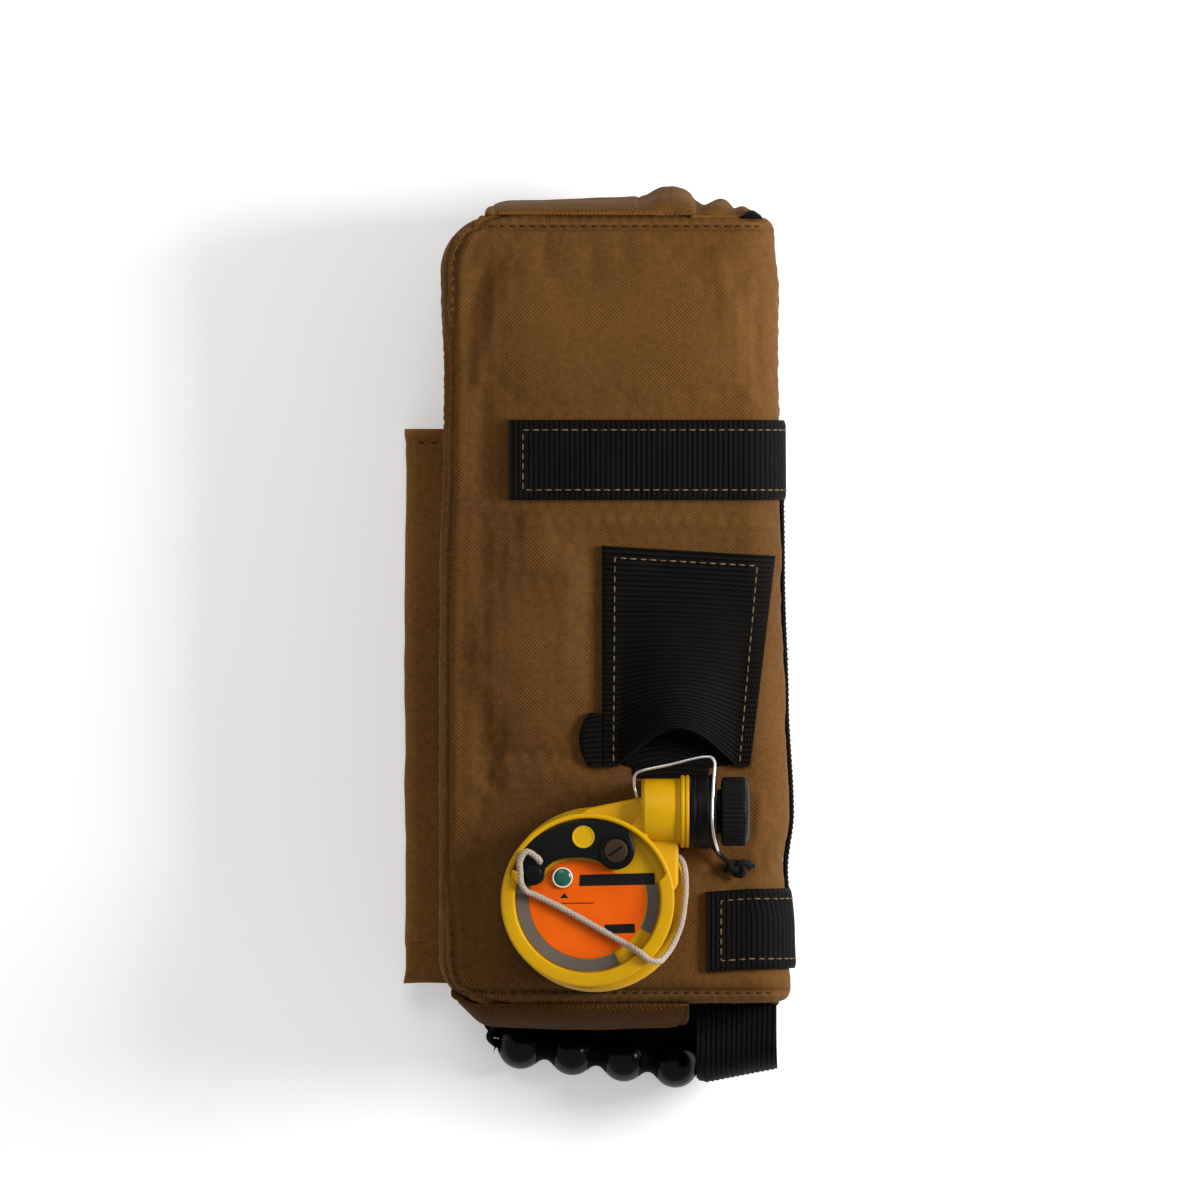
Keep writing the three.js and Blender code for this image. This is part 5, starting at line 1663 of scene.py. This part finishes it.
def build_inflator_shell():
    ring = build_ring()
    step = FLANK_RADIUS - 0.7
    flank = turned("flank", [
        (0, 0), (0, FLANK_RADIUS), (7.6, FLANK_RADIUS), (8.4, step), (FLANK_HEIGHT, step), (FLANK_HEIGHT, 0),
    ], 0.8, YELLOW, (FLANK_SHIFT, 0), INFLATOR_Z, 160)
    arm = prism("arm", [
        (RING_X - 4, RING_Y + 0.97 * RING_RADIUS),
        (RING_X + 0.2, RING_Y + 1.06 * RING_RADIUS),
        (NECK_LEFT_X + 1, NECK_Y + 4.7),
        (NECK_RIGHT_X - 0.4, NECK_Y - 4),
        (RING_X + 28.7, RING_Y + 4.5),
        (RING_X + 20, RING_Y - 6),
    ], INFLATOR_Z, INFLATOR_Z + 0.78 * RING_HEIGHT, YELLOW, 1.2)
    web = prism("web", [
        (RING_X + 14, RING_Y + 23.5),
        (NECK_LEFT_X + 0.6, NECK_Y + 1),
        (NECK_LEFT_X + 2.2, NECK_Y - 9.6),
        (RING_X + 22, RING_Y + 15),
    ], INFLATOR_Z, RING_TOP_Z - 1.2, YELLOW, 0.8)
    neck = build_neck()
    foot = prism("foot", [
        (NECK_LEFT_X, NECK_Y - 10.3),
        (NECK_RIGHT_X, NECK_Y - 10.3),
        (NECK_RIGHT_X, NECK_Y + 10.3),
        (NECK_LEFT_X, NECK_Y + 10.3),
    ], INFLATOR_Z, NECK_Z + 1.5, YELLOW, 0.9)
    step_outline = band(158, 166, 22.4, LEVER_RECESS_RADIUS, 8)
    rim_step = prism("rim_step", step_outline, RING_TOP_Z - 4.4, RING_TOP_Z - 0.9, YELLOW, 0.3)
    body = join("inflator_shell", [ring, flank, arm, web, neck, foot, rim_step])
    show(body, "inflator_shell", "inflator_body")


# Inner edges of the lever and of the orange field, from the ring's centre
LEVER_EDGE = [(5.4, 10.9), (2.6, 12.6), (-1.6, 13.4), (-6.4, 13.3), (-10.6, 12.2), (-13.4, 10.0)]
FIELD_EDGE = [(8.0, 9.1), (4.2, 11.2), (-1.0, 12.3), (-6.0, 12.3), (-10.4, 10.9), (-13.0, 8.2)]

# Plain marks on the face: two bars, a line and a triangle
MARKS = [
    ((-2.7, 4.4), (21.4, 4.9), (21.2, 8.6), (-2.5, 8.0)),
    ((5.5, -10.8), (15.0, -10.4), (14.9, -7.5), (5.4, -7.8)),
    ((-8.1, -1.2), (2.1, -1.1), (2.1, -0.8), (-8.1, -0.9)),
    ((-8.7, 0.6), (-6.1, 0.6), (-7.4, 2.3)),
]


def curve_through(points):
    return smooth_route([(x, y, 0) for x, y in points], 0.6)


def lever_outline():
    outline = arc_points(0, 0, LEVER_RECESS_RADIUS - 0.6, 140, 58, 40)
    outline += arc_points(*LEVER_PIVOT, 6.0, 15, -120, 28)
    outline += curve_through(LEVER_EDGE)
    outline += arc_points(*LEVER_END, 3.7, -10, -190, 30)
    return from_ring(outline)


def field_outline():
    """Orange field: round below, and following the lever above."""
    outline = arc_points(0, 0, 18.55, 163, 382, 90) + [(17.2, 8.05), (9.4, 8.05)]
    outline += curve_through(FIELD_EDGE) + [(-14.6, 5.2)]
    return from_ring(outline)


def build_label():
    profile = [(0, 0), (0, 22.75), (LABEL_BASE, 22.75), (LABEL_BASE, 0)]
    base = turned("label_base", profile, 0.1, YELLOW, (0, 0), LABEL_Z, 128)
    top = LABEL_Z + LABEL_BASE
    parts = [base]
    for name, outline, material in (
        ("label_field", field_outline(), ORANGE),
        ("label_band", band(164, 297, 18.75, 22.6, 60), GREY),
        ("label_side", band(-28, 14, 19.0, 22.6, 24), GREY),
    ):
        parts.append(prism(name, outline, top - 0.1, top + 0.25, material, 0.05, 1))
    parts += [prism("label_mark", from_ring(mark), top, top + 0.3, LABEL_BLACK, 0.0) for mark in MARKS]
    show(join("label_face", parts), "label", "label_disc")


def build_lever():
    top = LEVER_Z + LEVER_THICKNESS - 0.2
    lever = prism("lever", lever_outline(), LEVER_Z, LEVER_Z + LEVER_THICKNESS, LEVER_BLACK, 0.55, 4)
    collar_profile = [(0, 4.1), (0, 5.5), (0.55, 5.3), (0.55, 4.3), (0, 4.1)]
    collar = turned("pivot_ring", collar_profile, 0.15, LEVER_BLACK, LEVER_PIVOT, top, 72)
    knuckle_profile = [(0, 0), (0, 3.0), (0.7, 2.6), (0.9, 0)]
    knuckle = turned("lever_knuckle", knuckle_profile, 0.3, LEVER_BLACK, LEVER_END, top, 48)
    show(join("lever_arm", [lever, collar, knuckle]), "lever", "pull_lever")


def build_pivot_cap():
    """Round cap with a slot across it."""
    profile = [(0, 0), (0, 3.8), (3.3, 3.8), (3.55, 3.3), (3.55, 0)]
    cap = turned("pivot_cap", profile, 0.25, CAP_BROWN, LEVER_PIVOT, LEVER_Z, 64)
    turn = 0.6
    cross = [
        (
            LEVER_PIVOT[0] + x * math.cos(turn) - y * math.sin(turn),
            LEVER_PIVOT[1] + x * math.sin(turn) + y * math.cos(turn),
        )
        for x, y in ((-2.6, -0.35), (2.6, -0.35), (2.6, 0.35), (-2.6, 0.35))
    ]
    key = prism("cap_key", from_ring(cross), LEVER_Z + 3.3, LEVER_Z + 3.75, LEVER_BLACK, 0.1, 2)
    show(join("pivot_cap", [cap, key]), "pivot", "lever_pivot")


def build_window_and_indicator():
    profile = [(0, 0), (0, 3.55), (3.05, 3.55), (3.05, 3.15), (2.9, 2.9), (2.9, 0)]
    window = turned("window_disc", profile, 0.15, WINDOW_YELLOW, WINDOW_PLACE, LEVER_Z, 64)
    show(window, "window", "face_window")
    build_pivot_cap()
    profile = [(0, 0), (0, 2.75), (0.5, 2.75), (0.85, 2.3), (1.05, 1.4), (1.12, 0)]
    low_z = LEVER_Z - 0.1
    centre = (RING_X + INDICATOR_PLACE[0], RING_Y + INDICATOR_PLACE[1], low_z)
    lens = lathe("lens", profile, GREEN, centre, steps=64)
    profile = [(0, 2.75), (0, 3.3), (0.6, 3.25), (0.75, 2.95), (0.6, 2.75), (0, 2.75)]
    rim = turned("lens_rim", profile, 0.1, PALE_PAINTED_HIGHLIGHT, INDICATOR_PLACE, low_z, 64)
    show(join("indicator_lens", [lens, rim]), "indicator", "indicator")


# White cord's route from the lever across the face, over the rim and up the flank,
# from the ring's centre and top
CORD_ROUTE = [
    (-15.2, 11.6, -1.4), (-15.6, 13.0, 0.6), (-19.2, 15.4, 1.9), (-21.4, 12.6, 1.7), (-21.3, 8.8, 1.4),
    (-21.1, 5.4, 1.2), (-19.4, 2.8, -0.8), (-16.2, 1.4, -2.0), (-6.0, -3.7, -2.0), (8.0, -11.6, -2.0),
    (12.2, -14.0, -1.5), (14.6, -15.4, 0.4), (16.8, -16.8, 1.5), (19.6, -18.9, 1.5), (22.4, -19.4, 0.4),
    (24.2, -18.2, -2.4), (27.0, -14.2, -5.4), (29.7, -7.4, -7.2), (31.0, 2.1, -7.4), (30.9, 8.0, -7.6),
    (29.9, 12.4, -8.2), (27.2, 14.4, -8.8),
]
CORD_RADIUS = 1.05

# Wire clip's route over the collar, from the neck's left end, its middle and its axis
CLIP_ROUTE = [
    (-1.3, 4.6, 5.4), (-2.2, 8.0, 6.0), (-2.0, 11.4, 6.8), (0.6, 13.1, 7.4), (9.0, 14.9, 8.0),
    (19.4, 17.3, 9.0), (23.0, 16.2, 9.4), (22.9, 10.0, 11.4), (22.4, 0.0, 13.2), (22.8, -6.8, 12.0),
    (24.2, -12.2, 6.2), (24.6, -13.6, 0.4),
]
CLIP_WIRE_RADIUS = 0.48
COLLAR_X = NECK_RIGHT_X + 2.9 + SEAT_GAP
KNOB_X = COLLAR_X + 8.5
KNURLS = 44
KNOT_ROPE_RADIUS = 1.15


def build_pull_cord():
    """White cord, tied to the lever and led back into the flank; its length is its route's."""
    route = smooth_route([np.array(p) + (RING_X, RING_Y, RING_TOP_Z) for p in CORD_ROUTE], 0.5)

    def braided(share, angle, run):
        return 0.95 + 0.05 * math.cos(4 * angle + 2.6 * run) + 0.04 * math.sin(0.8 * run)

    white = tube("pull_cord_braid", route, CORD_RADIUS, WHITE_CORD, 20, braided)
    path = (np.array([list(p) for p in route]) + SHIFT) * MM
    show(white, "cord", "pull_cord")


def build_clip():
    bends = [np.array(p) + (NECK_LEFT_X, NECK_Y, NECK_Z) for p in CLIP_ROUTE]
    wire = tube("clip_wire", smooth_route(bends, 0.45), CLIP_WIRE_RADIUS, STEEL, 16)
    show(wire, "wire", "wire_clip")


def knurl(angle, along, radius):
    """The knob's radius, with grooves on its grip."""
    if radius < 10.4 or not 1.9 < along < 8.7:
        return radius
    return radius - 0.32 * (0.5 - 0.5 * math.cos(KNURLS * angle)) ** 1.6


def build_collar_and_knob():
    """Grooved collar on the neck, and the knurled knob on its stem beyond it."""
    profile = [
        (0, 0), (0, 11.0), (0.5, 11.8), (1.6, 11.9), (1.8, 11.55), (2.2, 11.55), (2.4, 11.9),
        (5.6, 11.9), (5.8, 11.5), (6.3, 11.5), (6.5, 11.85), (7.7, 11.8), (8.2, 11.1), (8.2, 0),
    ]
    place = (COLLAR_X, NECK_Y, NECK_Z)
    collar = lathe("collar_turned", rounded_corners(profile, 0.25, 3), BLACK_PLASTIC, place, "x", 144)
    show(collar, "black_plastic", "valve_collar")
    profile = [
        (0, 0), (0, 7), (1.2, 7), (1.3, 9.9), (1.8, 10.8), (2.6, 10.95), (8.0, 10.95), (8.9, 10.7),
        (9.9, 9.6), (10.2, 8.4), (10.3, 7.6), (9.8, 7.2), (9.8, 0),
    ]
    place = (KNOB_X, NECK_Y, NECK_Z)
    steps = 8 * KNURLS
    knob = lathe("knob_knurled", rounded_corners(profile, 0.3, 3), BLACK_PLASTIC, place, "x", steps, knurl)
    show(knob, "black_plastic", "end_knob")


def build_knot():
    """Trefoil knot of black cord, with its lead from the clip and two short tails."""
    low, high = in_layout(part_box("cord_knot"))
    centre = Vector((low + high) / 2)
    half_x, half_y, _ = (high - low) / 2
    loop = []
    for t in np.linspace(0, TAU, 140, endpoint=False):
        loop.append(centre + Vector((
            (math.sin(t) + 2 * math.sin(2 * t)) / 3 * (half_x - 1.5),
            (math.cos(t) - 2 * math.cos(2 * t)) / 3 * (half_y - 0.9),
            -0.975 * math.sin(3 * t),
        )))
    parts = [tube("knot_rope", loop + loop[:1], KNOT_ROPE_RADIUS, BLACK_THREAD, 14, strands(0.08, 2.4))]
    bends = ((0, 0, 0), (-3.5, 2.0, 0.8), (-6.5, 4.6, 1.2), (-8.8, 8.2, 2.4))
    lead = smooth_route([centre + Vector(bend) for bend in bends], 0.4)
    parts.append(tube("knot_lead", lead, 0.9, BLACK_THREAD, 12, strands(0.08, 2.4)))

    def frayed(share, angle, run):
        return 1 - 0.25 * share + 0.08 * math.sin(3 * angle + 2 * run)

    for side, turn in ((1, 0.3), (-1, -0.5)):
        tail = [
            centre + Vector((side * (2.2 + 2.6 * t), turn * 2 * t, -0.6 - 1.0 * t))
            for t in np.linspace(0, 1, 16)
        ]
        parts.append(tube("knot_tail", tail, 0.95, BLACK_THREAD, 12, frayed))
    show(join("cord_knot_rope", parts), "thread", "cord_knot")


# Setting

FLOOR_REACH = 4000
WORLD_STRENGTH = 0.42
# Soft square lights: place in metres, size in metres, power in watts
LIGHTS = {
    "key": ((0.60, 0.10, 0.41), 0.26, 6.6),
    "fill": ((-0.2, 0.9, 1.3), 0.8, 5),
}


def build_floor():
    n = Nodes("floor_pale")
    color = n.ramp(n.spot(3, 3), (0.3, (0.86, 0.86, 0.86)), (0.7, (0.9, 0.9, 0.9)))
    material = n.finish(color, 0.85, Emission_Color=(1, 1, 1, 1), Emission_Strength=0.3)
    corners = [(x * FLOOR_REACH, y * FLOOR_REACH, 0) for x, y in ((-1, -1), (1, -1), (1, 1), (-1, 1))]
    floor = new_object("floor", corners, [(0, 1, 2, 3)], material)


def build_light():
    world = bpy.data.worlds.new("soft_room")
    world.use_nodes = True
    background = world.node_tree.nodes["Background"]
    background.inputs["Color"].default_value = (1, 1, 1, 1)
    background.inputs["Strength"].default_value = WORLD_STRENGTH
    bpy.context.scene.world = world
    for name, (place, size, power) in LIGHTS.items():
        light = bpy.data.lights.new(name, "AREA")
        light.size = size
        light.energy = power
        lamp = bpy.data.objects.new(name, light)
        lamp.location = place
        lamp.rotation_euler = (-Vector(place)).to_track_quat("-Z", "Y").to_euler()
        bpy.context.scene.collection.objects.link(lamp)
    bpy.context.scene.view_settings.view_transform = "Standard"


# Camera: straight above, the pack's upper end up, at the photograph's scale

PHOTO_SCALE = 0.3175
PHOTO_SIZE = 1200
CAMERA_DISTANCE = 9000
SENSOR_WIDTH = 36
# The photograph shows the pack's middle a little below its own
CAMERA_Y = 12.2


def build_camera():
    camera = bpy.data.cameras.new("camera")
    field = PHOTO_SIZE * PHOTO_SCALE
    camera.sensor_width = SENSOR_WIDTH
    camera.lens = SENSOR_WIDTH * (CAMERA_DISTANCE - FACE_Z) / field
    camera.clip_end = 100
    holder = bpy.data.objects.new("camera", camera)
    holder.location = (0, CAMERA_Y * MM, CAMERA_DISTANCE * MM)
    bpy.context.scene.collection.objects.link(holder)
    bpy.context.scene.camera = holder


def finish_carried_nodes():
    """The float inside keeps its CAD solid, in its own cloth."""
    core = frame["nodes"]["float_core"]
    core.data.materials.clear()
    core.data.materials.append(DARK_CLOTH)


build_camera()
build_floor()
build_light()
build_cover()
build_hem_stitches()
build_wrapped("webbing_strip", -29, 56.8, 0.0, 420)
build_wrapped("corner_patch", 33.5, -93, 0.07, 170)
build_sleeve()
build_tab()
build_belt_strap()
build_loop()
build_flap("top_flap", Flap(1, -36.7, 30, 9.6, TOP_FLAP_ROLL), BROWN, "cover_cloth")
build_flap("bottom_flap", Flap(-1, -47, 28, 8.9, BOTTOM_FLAP_ROLL), BROWN_PILE_PAINTED_SHADE, "flap_cloth")
build_pocket()
build_handle()
build_inflator_shell()
build_label()
build_lever()
build_window_and_indicator()
build_pull_cord()
build_clip()
build_collar_and_knob()
build_knot()
finish_carried_nodes()
